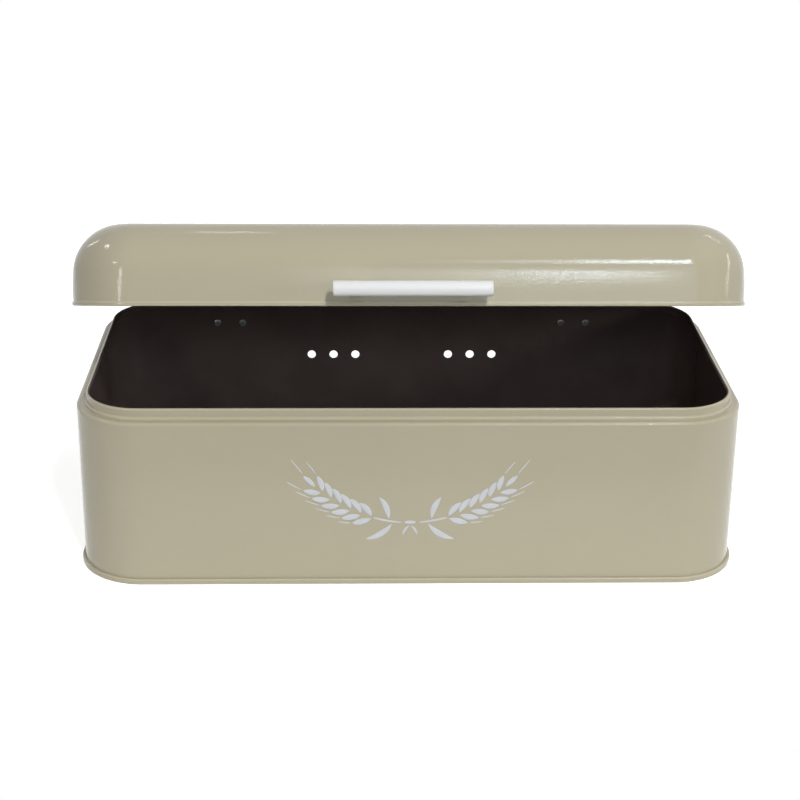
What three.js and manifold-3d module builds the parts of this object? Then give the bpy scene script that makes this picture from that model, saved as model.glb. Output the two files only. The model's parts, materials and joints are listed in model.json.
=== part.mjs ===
// Bread box of pressed and painted sheet steel with a hinged lid and a bar handle.
// Millimetres. The origin is the centre of the footprint on the table, +Z is up,
// the front with the handle faces -Y, and the lid swings up about the hinge pins at the back.

import * as THREE from 'three';
import Module from 'manifold-3d';
import { mergeVertices } from 'three/addons/utils/BufferGeometryUtils.js';

const wasm = await Module();
wasm.setup();

// Overall sizes
const bodyWidth = 420;
const bodyDepth = 218;
const cornerRadius = 41;
const shoulderHeight = 110;
const neckHeight = 7;
const lidHeight = 51;
const sheet = 0.6;

// How far the lid stands open at rest, and its stop, both from the closed lid, in degrees
const restOpening = 18.8;
const fullOpening = 100;

// Gaps: between pieces that seat on each other, and how far a cut runs past what it cuts
const seatGap = 0.3;
const cutOverrun = 2;

// Bends in the sheet: the least inside radius, and the arc that one facet may span, in degrees
const insideBend = 0.3;
const bendFacet = 45;
const shoulderFacet = 30;
const wideBendFacet = 11.25;
const cornerSteps = 7;
const leastCorner = 0.5;
const facetSlack = 0.01;

// Body wall: bottom flange, shoulder, stepped neck and curled rim
const flangeWidth = 1.1;
const shoulderBend = 1.8;
const neckInset = 6.2;
const neckFootStep = 1.3;
const neckFootHeight = 1.4;
const neckFootRise = 0.6;
const neckFootBend = 0.7;
const rimCurl = 1.2;

// Upright lock seam at the back of the wall, and the air holes beside it
const lockSeamWidth = 8;
const lockSeamProud = 0.5;
const ventRadius = 3;
const ventHeight = 74;
const ventPitch = 16;
const ventOffset = 34;
const ventsPerSide = 3;

// Bottom pan: seam folded round the wall's flange, recessed panel, raised field
const seamHeight = 3.8;
const panelRecess = 5;
const panelBend = 2;
const fieldInset = 16;
const fieldRise = 1.2;
const fieldSlope = 3;

// Lid: rounded upper edge, gentle crown and hem
const lidBend = 31;
const lidCrown = 0.8;
const hemHeight = 2.3;
const hemProud = 0.6;
const hemThickness = 2.2;
const hemJoggle = 0.6;

// Handle: bar, two posts with a foot, screws and washers from inside the lid
const barRadius = 4.7;
const barLength = 95;
const barChamfer = 0.4;
const barHeight = 10.6;
const barStandOff = 20;
const postSpacing = 64;
const postRadius = 3.2;
const postFootRadius = 4.6;
const postFootThickness = 1.6;
const tenonRadius = 2;
const tenonLength = 4.5;
const screwRadius = 1.9;
const screwReach = 8;
const screwHeadRadius = 3.8;
const screwHeadHeight = 2.2;
const screwSlotWidth = 1;
const screwSlotDepth = 1;
const washerRadius = 4.8;
const washerThickness = 0.8;

// Hinges: leaves with rolled knuckles, a stop heel, pins and rivets
const hingeSpacing = 250;
const hingeWidth = 32;
const hingeMiddle = 12;
const leafThickness = 1;
const leafLength = 17;
const leafCorner = 3;
const leafJoggleStart = 3.4;
const leafJoggleLength = 1.4;
const pinRadius = 1.2;
const pinHeadRadius = 1.9;
const pinHeadLength = 0.9;
const hemClearance = 0.4;
const knuckleWrap = 290;
const heelReach = 5.2;
const heelThickness = 1;
const heelDip = 0.4;
const rivetSpacing = 18;
const rivetPlace = 11.5;
const rivetShank = 1.5;
const rivetHeadRadius = 3;
const rivetHeadHeight = 1.1;
const rivetTailRadius = 2.6;
const rivetTailHeight = 0.8;

// Facets round small turned pieces and round the handle bar
const turnedFacets = 16;
const rivetFacets = 10;
const barFacets = 32;

// Worked out from the sizes above
const halfDepth = bodyDepth / 2;
const rimHeight = shoulderHeight + neckHeight;
const holeRadius = rivetShank + seatGap;
const screwHole = screwRadius + seatGap;
const knuckleBore = pinRadius + seatGap;
const knuckleRadius = knuckleBore + leafThickness;
const leafOffset = hemProud + hemClearance;
const leafJoggle = leafOffset - seatGap;
const pivotY = halfDepth + leafOffset + knuckleRadius;
const pivotZ = shoulderHeight;
const lidBase = shoulderHeight + seatGap;
const barY = -halfDepth - barStandOff;
const barZ = lidBase + barHeight;

const coat = new THREE.MeshStandardMaterial({ color: 0xb6ae99, roughness: 0.4, metalness: 0 });
const panCoat = new THREE.MeshStandardMaterial({ color: 0xb0a892, roughness: 0.45, metalness: 0 });
const lidCoat = new THREE.MeshStandardMaterial({ color: 0xb9b19c, roughness: 0.38, metalness: 0 });
const whiteCoat = new THREE.MeshStandardMaterial({ color: 0xe8e8e6, roughness: 0.35, metalness: 0 });
const zinc = new THREE.MeshStandardMaterial({ color: 0xb9bbbd, roughness: 0.35, metalness: 1 });

const radians = THREE.MathUtils.degToRad;

// Conversions between a geometry and a solid

function toSolid(geometry) {
  const bare = geometry.clone();
  bare.deleteAttribute('normal');
  bare.deleteAttribute('uv');
  const merged = mergeVertices(bare);
  return new wasm.Manifold(new wasm.Mesh({
    numProp: 3,
    vertProperties: new Float32Array(merged.attributes.position.array),
    triVerts: new Uint32Array(merged.index.array),
  }));
}

function toGeometry(solid) {
  const mesh = solid.getMesh();
  const geometry = new THREE.BufferGeometry();
  geometry.setAttribute('position', new THREE.BufferAttribute(mesh.vertProperties, 3));
  geometry.setIndex(new THREE.BufferAttribute(mesh.triVerts, 1));
  geometry.computeVertexNormals();
  return geometry;
}

function fuse(first, ...others) {
  return toGeometry(others.reduce((solid, other) => solid.add(toSolid(other)), toSolid(first)));
}

function cutAway(first, cutters) {
  return toGeometry(cutters.reduce((solid, cutter) => solid.subtract(toSolid(cutter)), toSolid(first)));
}

// Sheet sections, as corner points (inset from the body's outline, height) with a bend radius each.
// bentPath rounds every inner corner by an arc. Where the arcs at both ends of a straight want more
// than its length, each gives way in the same share.

function bentPath(corners) {
  const points = corners.map(([inset, height]) => new THREE.Vector2(inset, height));
  const bends = points.map((point, i) => {
    if (i === 0 || i === points.length - 1) return { wanted: 0 };
    const back = points[i - 1].clone().sub(point).normalize();
    const ahead = points[i + 1].clone().sub(point).normalize();
    const turn = Math.PI - Math.acos(THREE.MathUtils.clamp(back.dot(ahead), -1, 1));
    return { back, ahead, turn, wanted: corners[i][2] * Math.tan(turn / 2) };
  });
  const room = (i) => points[i].distanceTo(points[i + 1]) / (bends[i].wanted + bends[i + 1].wanted);
  const path = [points[0]];
  for (let i = 1; i < points.length - 1; i += 1) {
    const { back, ahead, turn, wanted } = bends[i];
    const tangent = wanted * Math.min(1, room(i - 1), room(i));
    const steps = Math.max(1, Math.ceil(turn / radians(corners[i][3] ?? bendFacet) - facetSlack));
    const start = points[i].clone().addScaledVector(back, tangent);
    const centre = back.clone().add(ahead).normalize()
      .multiplyScalar(tangent / Math.sin(turn / 2)).add(points[i]);
    const side = Math.sign(back.cross(ahead));
    for (let step = 0; step <= steps; step += 1) {
      path.push(start.clone().rotateAround(centre, -side * turn * step / steps));
    }
  }
  path.push(points.at(-1));
  const apart = sheet / 100;
  return path.filter((point, i) => i === 0 || point.distanceTo(path[i - 1]) > apart);
}

// A copy of the path moved to its left by a distance, mitred at every point
function offsetPath(path, distance) {
  return path.map((point, i) => {
    const before = point.clone().sub(path[Math.max(i - 1, 0)]);
    const after = path[Math.min(i + 1, path.length - 1)].clone().sub(point);
    if (i === 0) before.copy(after);
    if (i === path.length - 1) after.copy(before);
    before.normalize();
    after.normalize();
    const across = before.clone().add(after).normalize();
    const stretch = 1 / across.dot(before);
    return new THREE.Vector2(-across.y, across.x).multiplyScalar(distance * stretch).add(point);
  });
}

// The body's outline at an inset and a height: straight sides joined by quarter circles
function outlineRing({ x: inset, y: height }) {
  const radius = Math.max(cornerRadius - inset, leastCorner);
  const centreX = bodyWidth / 2 - inset - radius;
  const centreY = bodyDepth / 2 - inset - radius;
  const ring = [];
  for (let quarter = 0; quarter < 4; quarter += 1) {
    const sideX = quarter === 0 || quarter === 3 ? 1 : -1;
    const sideY = quarter < 2 ? 1 : -1;
    for (let step = 0; step <= cornerSteps; step += 1) {
      const angle = (quarter + step / cornerSteps) * Math.PI / 2;
      const x = sideX * centreX + radius * Math.cos(angle);
      const y = sideY * centreY + radius * Math.sin(angle);
      ring.push(new THREE.Vector3(x, y, height));
    }
  }
  return ring;
}

// Sheet bent along the path and carried round the outline. A capped one closes over the middle
// at its last point, with that middle lifted by the crown. An open one is a ring of wall.
function sheetRound(path, { capped, crown = 0 }) {
  const section = [...offsetPath(path, -sheet / 2).reverse(), ...offsetPath(path, sheet / 2)];
  const rings = section.map(outlineRing);
  const count = rings[0].length;
  const positions = rings.flat().flatMap((point) => point.toArray());
  const faces = [];
  const lastRing = capped ? rings.length - 1 : rings.length;
  for (let ring = 0; ring < lastRing; ring += 1) {
    const upper = (ring + 1) % rings.length;
    for (let column = 0; column < count; column += 1) {
      const next = (column + 1) % count;
      const [a, b] = [ring * count + column, ring * count + next];
      const [c, d] = [upper * count + next, upper * count + column];
      faces.push(a, b, c, a, c, d);
    }
  }
  if (capped) {
    const middle = rings.length * count;
    const top = (rings.length - 1) * count;
    positions.push(0, 0, section[0].y + crown, 0, 0, section.at(-1).y + crown);
    for (let column = 0; column < count; column += 1) {
      const next = (column + 1) % count;
      faces.push(middle, next, column, middle + 1, top + column, top + next);
    }
  }
  const geometry = new THREE.BufferGeometry();
  geometry.setAttribute('position', new THREE.Float32BufferAttribute(positions, 3));
  geometry.setIndex(faces);
  geometry.computeVertexNormals();
  return geometry;
}

// Turned pieces: a profile of (radius, height) points about an axis, then laid along X or Y

function turned(profile, facets) {
  const points = profile.map(([radius, height]) => new THREE.Vector2(radius, height));
  return new THREE.LatheGeometry(points, facets);
}

const alongX = (geometry) => geometry.rotateZ(-Math.PI / 2);

// LatheGeometry turns about Y, so a piece along Y only moves to its place
function rodAlongY(radius, length, [x, y, z], facets = turnedFacets) {
  return new THREE.CylinderGeometry(radius, radius, length, facets).translate(x, y, z);
}

// Body

function wallPath() {
  const middle = sheet / 2;
  const tight = insideBend + middle;
  const flangeZ = sheet + seatGap + middle;
  const ledgeZ = shoulderHeight - middle;
  const neck = neckInset + middle;
  const foot = neck - neckFootStep;
  const stepZ = ledgeZ + neckFootHeight;
  const curl = rimCurl - middle;
  const rimZ = rimHeight - middle;
  return bentPath([
    [-flangeWidth, flangeZ],
    [middle, flangeZ, tight],
    [middle, ledgeZ, shoulderBend, shoulderFacet],
    [foot, ledgeZ, tight],
    [foot, stepZ, neckFootBend],
    [neck, stepZ + neckFootRise, neckFootBend],
    [neck, rimZ, curl],
    [neck + 2 * curl, rimZ, curl],
    [neck + 2 * curl, rimZ - 2 * curl, curl],
    [neck + curl, rimZ - 2 * curl],
  ]);
}

function rivetPlaces(side) {
  return [-1, 1].flatMap((hand) => [-1, 1].map((end) => [
    (hand * hingeSpacing + end * rivetSpacing) / 2,
    halfDepth,
    pivotZ + side * rivetPlace,
  ]));
}

function ventPlaces() {
  const places = [];
  for (let i = 0; i < ventsPerSide; i += 1) {
    const x = ventOffset + i * ventPitch;
    places.push([x, halfDepth, ventHeight], [-x, halfDepth, ventHeight]);
  }
  return places;
}

function bodyWall() {
  const wall = sheetRound(wallPath(), { capped: false });
  const seamLow = seamHeight + seatGap;
  const seamLength = shoulderHeight - shoulderBend - sheet - seamLow;
  const seamDepth = lockSeamProud + sheet / 2;
  const seam = new THREE.BoxGeometry(lockSeamWidth, seamDepth, seamLength)
    .translate(0, halfDepth - sheet / 2 + seamDepth / 2, seamLow + seamLength / 2);
  const through = sheet + 2 * cutOverrun;
  const cutters = [
    ...rivetPlaces(-1).map((place) => rodAlongY(holeRadius, through, place, rivetFacets)),
    ...ventPlaces().map((place) => rodAlongY(ventRadius, through, place)),
  ];
  return cutAway(fuse(wall, seam), cutters);
}

function bottomPan() {
  const middle = sheet / 2;
  const tight = insideBend + middle;
  const outside = -(flangeWidth + seatGap + middle);
  const inside = sheet + seatGap + middle;
  const top = seamHeight - middle;
  const panel = panelRecess + middle;
  const field = fieldInset + fieldSlope;
  return sheetRound(bentPath([
    [-seatGap, top],
    [outside, top, tight],
    [outside, middle, tight],
    [inside, middle, tight],
    [inside, panel, panelBend],
    [fieldInset, panel, panelBend],
    [field, panel + fieldRise, panelBend],
    [field + fieldSlope, panel + fieldRise],
  ]), { capped: true });
}

// Lid, drawn closed

function lidPath() {
  const middle = sheet / 2;
  const tight = insideBend + middle;
  const outer = middle - hemProud;
  const inner = hemThickness - hemProud - middle;
  const top = lidBase + lidHeight - middle;
  return bentPath([
    [inner, lidBase + hemHeight - sheet],
    [inner, lidBase + middle, tight],
    [outer, lidBase + middle, tight],
    [outer, lidBase + hemHeight, tight],
    [middle, lidBase + hemHeight + hemJoggle, tight],
    [middle, top, lidBend - middle, wideBendFacet],
    [lidBend + lidCrown, top],
  ]);
}

function lidShell() {
  const through = sheet + 2 * cutOverrun;
  const rivetHoles = rivetPlaces(1).map((place) => rodAlongY(holeRadius, through, place, rivetFacets));
  const screwHoles = [-1, 1].map((end) => rodAlongY(screwHole, through,
    [end * postSpacing / 2, -halfDepth, barZ]));
  return cutAway(sheetRound(lidPath(), { capped: true, crown: lidCrown }), [...rivetHoles, ...screwHoles]);
}

// Handle

function handleBar() {
  const half = barLength / 2;
  const flat = barRadius - barChamfer;
  const bar = alongX(turned([
    [0, -half], [flat, -half], [barRadius, barChamfer - half],
    [barRadius, half - barChamfer], [flat, half], [0, half],
  ], barFacets)).translate(0, barY, barZ);
  const boreDepth = tenonLength + seatGap;
  const boreLength = boreDepth + cutOverrun;
  const boreY = barY + barRadius - boreDepth + boreLength / 2;
  const bores = [-1, 1].map((end) => rodAlongY(tenonRadius + seatGap, boreLength,
    [end * postSpacing / 2, boreY, barZ]));
  return cutAway(bar, bores);
}

// A post stands on the lid's face with its foot, is hollowed to the bar's round, and its tenon
// goes into the bar. Heights run along -Y from the lid's face.
function handlePost(end) {
  const x = end * postSpacing / 2;
  const tip = barStandOff - barRadius + tenonLength;
  const profile = [
    [0, seatGap], [postFootRadius, seatGap], [postFootRadius, postFootThickness * 0.6 + seatGap],
    [postRadius, postFootThickness + seatGap], [postRadius, barStandOff],
    [0, barStandOff],
  ];
  const toFront = (geometry) => geometry.rotateX(Math.PI).translate(x, -halfDepth, barZ);
  const post = toFront(turned(profile, turnedFacets));
  const barSpace = alongX(new THREE.CylinderGeometry(
    barRadius + seatGap, barRadius + seatGap, 4 * postRadius, barFacets)).translate(x, barY, barZ);
  const tenonRoot = barStandOff - barRadius - cutOverrun;
  const tenon = rodAlongY(tenonRadius, tip - tenonRoot, [x, -halfDepth - (tip + tenonRoot) / 2, barZ]);
  const boreEnd = screwReach + seatGap;
  const bore = rodAlongY(screwHole, boreEnd + cutOverrun,
    [x, -halfDepth - (boreEnd - cutOverrun) / 2, barZ]);
  return cutAway(fuse(cutAway(post, [barSpace]), tenon), [bore]);
}

// The screw's head lies on the washer inside the lid. Heights run along +Y from the lid's face.
function handleScrew(end) {
  const seat = sheet + washerThickness + 2 * seatGap;
  const head = seat + seatGap;
  const edge = head + screwHeadHeight * 0.55;
  const top = head + screwHeadHeight;
  const screw = turned([
    [0, -screwReach], [screwRadius, -screwReach], [screwRadius, head], [screwHeadRadius, head],
    [screwHeadRadius, edge], [screwHeadRadius * 0.72, top], [0, top],
  ], turnedFacets);
  const slot = new THREE.BoxGeometry(2 * screwHeadRadius + cutOverrun, 2 * screwSlotDepth, screwSlotWidth)
    .translate(0, top, 0);
  return cutAway(screw, [slot]).translate(end * postSpacing / 2, -halfDepth, barZ);
}

function handleWasher(end) {
  const low = sheet + seatGap;
  const high = low + washerThickness;
  return turned([
    [screwHole, low], [washerRadius, low], [washerRadius, high], [screwHole, high], [screwHole, low],
  ], turnedFacets).translate(end * postSpacing / 2, -halfDepth, barZ);
}

// Hinges. A leaf's section is drawn about the pin with the first axis away from the wall
// and the second along the leaf, and is pushed out along X.

function knuckleShape() {
  const wrap = radians(knuckleWrap);
  const shape = new THREE.Shape();
  const joggleEnd = leafJoggleStart + leafJoggleLength;
  shape.moveTo(-knuckleBore, 0);
  shape.lineTo(-knuckleBore, leafJoggleStart);
  shape.lineTo(-knuckleBore - leafJoggle, joggleEnd);
  shape.lineTo(-knuckleBore - leafJoggle, joggleEnd + leafThickness);
  shape.lineTo(-knuckleRadius - leafJoggle, joggleEnd + leafThickness);
  shape.lineTo(-knuckleRadius - leafJoggle, joggleEnd);
  shape.lineTo(-knuckleRadius, leafJoggleStart);
  shape.lineTo(-knuckleRadius, 0);
  shape.absarc(0, 0, knuckleRadius, Math.PI, Math.PI + wrap, false);
  shape.absarc(0, 0, knuckleBore, Math.PI + wrap, Math.PI, true);
  return shape;
}

// Extrudes a section so that its first axis lies along +Y and its second along +Z or -Z
function alongHinge(shape, width, middleX, side, curveSegments) {
  const geometry = new THREE.ExtrudeGeometry(shape, { depth: width, bevelEnabled: false, curveSegments });
  geometry.translate(0, 0, -width / 2);
  const turn = new THREE.Matrix4().makeBasis(
    new THREE.Vector3(0, 1, 0), new THREE.Vector3(0, 0, side), new THREE.Vector3(side, 0, 0));
  return geometry.applyMatrix4(turn).translate(middleX, pivotY, pivotZ);
}

// The flat of a leaf: a plate with two rounded corners at its free end
function leafPlate(middleX, side) {
  const half = hingeWidth / 2;
  const near = leafJoggleStart + leafJoggleLength;
  const shape = new THREE.Shape();
  shape.moveTo(-half, near);
  shape.lineTo(half, near);
  shape.lineTo(half, leafLength - leafCorner);
  shape.absarc(half - leafCorner, leafLength - leafCorner, leafCorner, 0, Math.PI / 2, false);
  shape.absarc(leafCorner - half, leafLength - leafCorner, leafCorner, Math.PI / 2, Math.PI, false);
  const geometry = new THREE.ExtrudeGeometry(shape, {
    depth: leafThickness, bevelEnabled: false, curveSegments: 3,
  });
  const turn = new THREE.Matrix4().makeBasis(
    new THREE.Vector3(-side, 0, 0), new THREE.Vector3(0, 0, side), new THREE.Vector3(0, 1, 0));
  return geometry.applyMatrix4(turn).translate(middleX, halfDepth + seatGap, pivotZ);
}

function leafHoles(middleX, side) {
  return [-1, 1].map((end) => rodAlongY(holeRadius, 2 * (leafThickness + cutOverrun),
    [middleX + end * rivetSpacing / 2, halfDepth, pivotZ + side * rivetPlace], rivetFacets));
}

function bodyLeaf(middleX) {
  const width = (hingeWidth - hingeMiddle) / 2 - seatGap;
  const reach = (hingeWidth - width) / 2;
  const knuckles = [-1, 1].map((end) => alongHinge(knuckleShape(), width, middleX + end * reach, -1, 9));
  return cutAway(fuse(leafPlate(middleX, -1), ...knuckles), leafHoles(middleX, -1));
}

// The stop heel lies along the body leaf when the lid is fully open, so in the closed lid
// its section is turned back by the full opening.
function heelShape() {
  const near = -knuckleBore - leafJoggle + seatGap;
  const far = near + heelThickness;
  const corners = [
    [near, knuckleBore + heelDip], [near, heelReach], [far, heelReach], [far, knuckleBore + heelDip],
  ];
  const centre = new THREE.Vector2();
  const closed = corners.map(([away, down]) => new THREE.Vector2(away, -down)
    .rotateAround(centre, radians(fullOpening)));
  return new THREE.Shape(closed);
}

function lidLeaf(middleX) {
  const knuckle = alongHinge(knuckleShape(), hingeMiddle, middleX, 1, 9);
  const heel = alongHinge(heelShape(), hingeMiddle, middleX, 1, 1);
  return cutAway(fuse(leafPlate(middleX, 1), knuckle, heel), leafHoles(middleX, 1));
}

function hingePin(middleX) {
  const half = hingeWidth / 2 + seatGap;
  const end = half + pinHeadLength;
  const shoulder = half + pinHeadLength / 2;
  return alongX(turned([
    [0, -end], [pinRadius, -end], [pinHeadRadius, -shoulder], [pinHeadRadius, -half],
    [pinRadius, -half], [pinRadius, half], [pinHeadRadius, half], [pinHeadRadius, shoulder],
    [pinRadius, end], [0, end],
  ], rivetFacets)).translate(middleX, pivotY, pivotZ);
}

// A rivet's tail lies inside the sheet and its domed head on the leaf
function rivet([x, y, z]) {
  const tail = -sheet - seatGap;
  const head = 2 * seatGap + leafThickness;
  return turned([
    [0, tail - rivetTailHeight], [rivetTailRadius * 0.8, tail - rivetTailHeight],
    [rivetTailRadius, tail], [rivetShank, tail], [rivetShank, head], [rivetHeadRadius, head],
    [rivetHeadRadius * 0.8, head + rivetHeadHeight * 0.6], [0, head + rivetHeadHeight],
  ], rivetFacets).translate(x, y, z);
}

// Assembly: pieces of the body stand still, pieces of the lid are drawn closed and swing together

function mesh(name, geometry, material) {
  const piece = new THREE.Mesh(geometry, material);
  piece.name = name;
  return piece;
}

function bodyPieces() {
  const pieces = [
    mesh('body_wall', bodyWall(), coat),
    mesh('bottom_pan', bottomPan(), panCoat),
  ];
  for (const [hand, sideX] of [['left', -1], ['right', 1]]) {
    const x = sideX * hingeSpacing / 2;
    pieces.push(mesh(`hinge_${hand}_body_leaf`, bodyLeaf(x), zinc));
    pieces.push(mesh(`hinge_${hand}_pin`, hingePin(x), zinc));
  }
  rivetPlaces(-1).forEach((place, i) => pieces.push(mesh(`body_rivet_${i + 1}`, rivet(place), zinc)));
  return pieces;
}

function lidPieces() {
  const pieces = [
    mesh('lid_shell', lidShell(), lidCoat),
    mesh('handle_bar', handleBar(), whiteCoat),
  ];
  for (const [hand, sideX] of [['left', -1], ['right', 1]]) {
    pieces.push(mesh(`handle_post_${hand}`, handlePost(sideX), whiteCoat));
    pieces.push(mesh(`handle_screw_${hand}`, handleScrew(sideX), zinc));
    pieces.push(mesh(`handle_washer_${hand}`, handleWasher(sideX), zinc));
    pieces.push(mesh(`hinge_${hand}_lid_leaf`, lidLeaf(sideX * hingeSpacing / 2), zinc));
  }
  rivetPlaces(1).forEach((place, i) => pieces.push(mesh(`lid_rivet_${i + 1}`, rivet(place), zinc)));
  return pieces;
}

const swing = new THREE.Group();
swing.position.set(0, pivotY, pivotZ);
swing.rotation.x = -radians(restOpening);
const closedLid = new THREE.Group();
closedLid.position.set(0, -pivotY, -pivotZ);
closedLid.add(...lidPieces());
swing.add(closedLid);

const group = new THREE.Group();
group.add(...bodyPieces(), swing);

export default group;
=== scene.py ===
"""A bread box of pressed and painted sheet steel with a hinged lid and a bar handle.

Metres, X to the right, -Y the front, Z up, the origin at the centre of the footprint.
The lid's pieces are worked out closed and then turned about the hinge pins to the pose at rest.
"""
import json
import math

import bmesh
import bpy
import numpy as np
from bpy.props import FloatProperty, FloatVectorProperty, IntProperty, PointerProperty
from mathutils import Matrix, Vector


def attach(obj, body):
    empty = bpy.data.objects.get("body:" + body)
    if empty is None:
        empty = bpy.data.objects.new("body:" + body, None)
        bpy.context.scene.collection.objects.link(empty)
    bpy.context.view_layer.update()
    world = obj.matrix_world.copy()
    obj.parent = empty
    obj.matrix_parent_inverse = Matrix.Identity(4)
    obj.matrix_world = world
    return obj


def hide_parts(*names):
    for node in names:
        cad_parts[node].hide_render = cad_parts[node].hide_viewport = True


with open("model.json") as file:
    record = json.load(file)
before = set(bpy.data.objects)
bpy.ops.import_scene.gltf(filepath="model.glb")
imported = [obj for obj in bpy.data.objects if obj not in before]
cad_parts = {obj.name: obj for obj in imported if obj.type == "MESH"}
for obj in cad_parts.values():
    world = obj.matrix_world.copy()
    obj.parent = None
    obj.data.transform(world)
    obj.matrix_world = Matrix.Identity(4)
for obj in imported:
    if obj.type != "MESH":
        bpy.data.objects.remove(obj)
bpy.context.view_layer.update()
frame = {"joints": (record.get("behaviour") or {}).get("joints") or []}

bl_info = {
    "name": "Bread box",
    "version": (1, 0, 0),
    "blender": (4, 5, 0),
    "location": "View3D > Sidebar > Bread box",
    "description": "Makes a painted steel bread box with a hinged lid, its finishes and a plain stage",
    "category": "Add Mesh",
}

HINGE = frame["joints"][0]
PIVOT_Y, PIVOT_Z = HINGE["pos_m"][1:]
OPEN_FROM, OPEN_TO = HINGE["range_deg"]
REST_OPENING = -math.radians(OPEN_FROM)
HANDS = (("left", -1), ("right", 1))
SIDES = {-1: ("bin", "body"), 1: ("lid", "lid")}  # leaves below and above the pins: their body, and word in names

SAME_POINT = 1e-7  # points that lie closer are one
ARC_FACET = math.radians(10)  # turn from one facet of a bend to the next
SHARP_ANGLE = math.radians(35)  # edges over it are shown sharp
BEVEL_ANGLE = math.radians(40)  # edges over it are softened, where a piece has soft edges
BEND_REACH = 0.0035  # bends of a larger radius don't count as tight
LEAST_RADIUS = 0.0005  # of an outline that is moved in past its corner radius
CAP_RINGS = 14  # from the edge of the lid's roof or of the bottom to its middle
LID_BEND_FACETS = 23
LID_SIDE_ROWS = 9
LID_SIDE_START = -0.8  # where the side leaves the slope over the hem, from -1 to 1 along it
KNUCKLE_FACETS = 32
LEAF_CORNER_FACETS = 12
EDGE_ROUND = 0.0001  # radius of the outer edges of turned pieces
EDGE_BEVEL = 0.00012  # width of the softened edges of sheet pieces
CUTTER_REACH = 0.004  # past both faces of the wall
TIP_SHARE = 1e-4  # keeps the tips of printed shapes a little wide
PRINT_GAP = 0.0008  # between printed shapes
FOOT_LEAVES = (  # place along the stem, aside, turn, length, width and bend
    (0.006, -0.0014, -0.75, 0.0205, 0.0042, 0.9),
    (0.0085, 0.0014, 1.05, 0.0165, 0.0040, -0.7),
)
FINISH_NAMES = {
    "coat": "khaki_coat_and_lacquer", "handle": "white_handle_coat", "ink": "white_print_ink", "zinc": "satin_zinc",
}
RUBBED_COAT = (0.33, 0.31, 0.27, 1)  # colour of the coat where it is rubbed
NO_GLOSS = ("key_light", "right_fill", "left_fill", "back_fill", "top_light")  # lamps that glossy surfaces don't show


# Sizes and colours that a user would change


def length(name, description, default):
    """A size in metres."""
    return FloatProperty(
        name=name, description=description, default=default, min=0.0, unit="LENGTH", subtype="DISTANCE", precision=4
    )


def share(name, description, default):
    """A plain factor."""
    return FloatProperty(name=name, description=description, default=default, min=0.0, precision=3)


def degrees(name, description, default):
    """An angle, given in degrees."""
    return FloatProperty(name=name, description=description, default=math.radians(default), subtype="ANGLE")


def number(name, description, default, least=1):
    """How many there are of something."""
    return IntProperty(name=name, description=description, default=default, min=least)


def colour(name, description, default):
    """A linear colour."""
    return FloatVectorProperty(
        name=name, description=description, default=default, size=3, min=0.0, max=1.0, subtype="COLOR"
    )


class BreadBoxSheetSizes(bpy.types.PropertyGroup):
    """Sizes of the pressed sheet pieces."""

    width: length("Width", "Width of the body", 0.42)
    depth: length("Depth", "Depth of the body", 0.218)
    corner: length("Corner radius", "Radius of the upright corners", 0.041)
    sheet: length("Sheet", "Thickness of the steel", 0.0006)
    gap: length("Gap", "Gap between pieces that seat on each other", 0.0003)
    tight_bend: length("Tight bend", "Centre line radius of a tight fold", 0.0006)
    shoulder: length("Shoulder height", "Height of the shoulder that the lid comes down to", 0.11)
    shoulder_bend: length("Shoulder bend", "Centre line radius of the shoulder", 0.0018)
    neck: length("Neck height", "Height of the curled rim over the shoulder", 0.007)
    rim_curl: length("Rim curl", "Outer radius of the curled rim", 0.0012)
    neck_inset: length("Neck inset", "How far the neck stands in from the wall", 0.0062)
    neck_step: length("Neck step", "How far the foot of the neck stands out from it", 0.0013)
    neck_foot: length("Neck foot", "Height of the foot of the neck", 0.0014)
    neck_rise: length("Neck rise", "Height of the slope over the foot of the neck", 0.0006)
    neck_bend: length("Neck bend", "Centre line radius of the bends of the neck", 0.0007)
    flange: length("Flange", "Width of the wall's bottom flange", 0.0011)
    seam_height: length("Seam height", "Height of the folded seam round the bottom", 0.0038)
    seam_gap: length("Seam gap", "What the coat leaves of the gap between the seam and the wall", 0.00006)
    panel_recess: length("Panel recess", "Height of the bottom panel over the table", 0.005)
    panel_bend: length("Panel bend", "Centre line radius of the bends of the bottom panel", 0.002)
    field_inset: length("Field inset", "Where the raised field of the bottom starts", 0.016)
    field_rise: length("Field rise", "How far the field of the bottom is raised", 0.0012)
    field_slope: length("Field slope", "Width of the slope to the raised field", 0.003)
    lid_height: length("Lid height", "Height of the lid's shell", 0.051)
    lid_bend: length("Lid bend", "Radius of the lid's upper edge", 0.03125)
    lid_crown: length("Lid crown", "How far the middle of the lid is raised", 0.0008)
    lid_swell: length("Lid swell", "How far the lid's side swells out halfway up", 0.00024)
    hem_height: length("Hem height", "Height of the lid's hem", 0.0023)
    hem_proud: length("Hem proud", "How far the hem stands out from the lid's side", 0.0006)
    hem_thickness: length("Hem thickness", "Thickness of the folded hem", 0.0022)
    hem_bend: length("Hem bend", "Centre line radius of the bends of the hem", 0.0008)
    hem_joggle: length("Hem joggle", "Height of the slope over the hem", 0.0006)
    seam_width: length("Lock seam width", "Width of the upright seam at the back", 0.008)
    seam_proud: length("Lock seam proud", "How far the upright seam stands out", 0.0005)
    vent_radius: length("Air hole radius", "Radius of the air holes at the back", 0.003)
    vent_height: length("Air hole height", "Height of the row of air holes", 0.074)
    vent_pitch: length("Air hole pitch", "Distance between air holes", 0.016)
    vent_offset: length("Air hole offset", "Distance of the first hole from the middle", 0.034)
    vents: number("Air holes", "Air holes on each side", 3)
    corner_steps: number("Corner steps", "Facets in a corner", 22, 4)
    side_steps: number("Side steps", "Facets along a side", 14)


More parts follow.
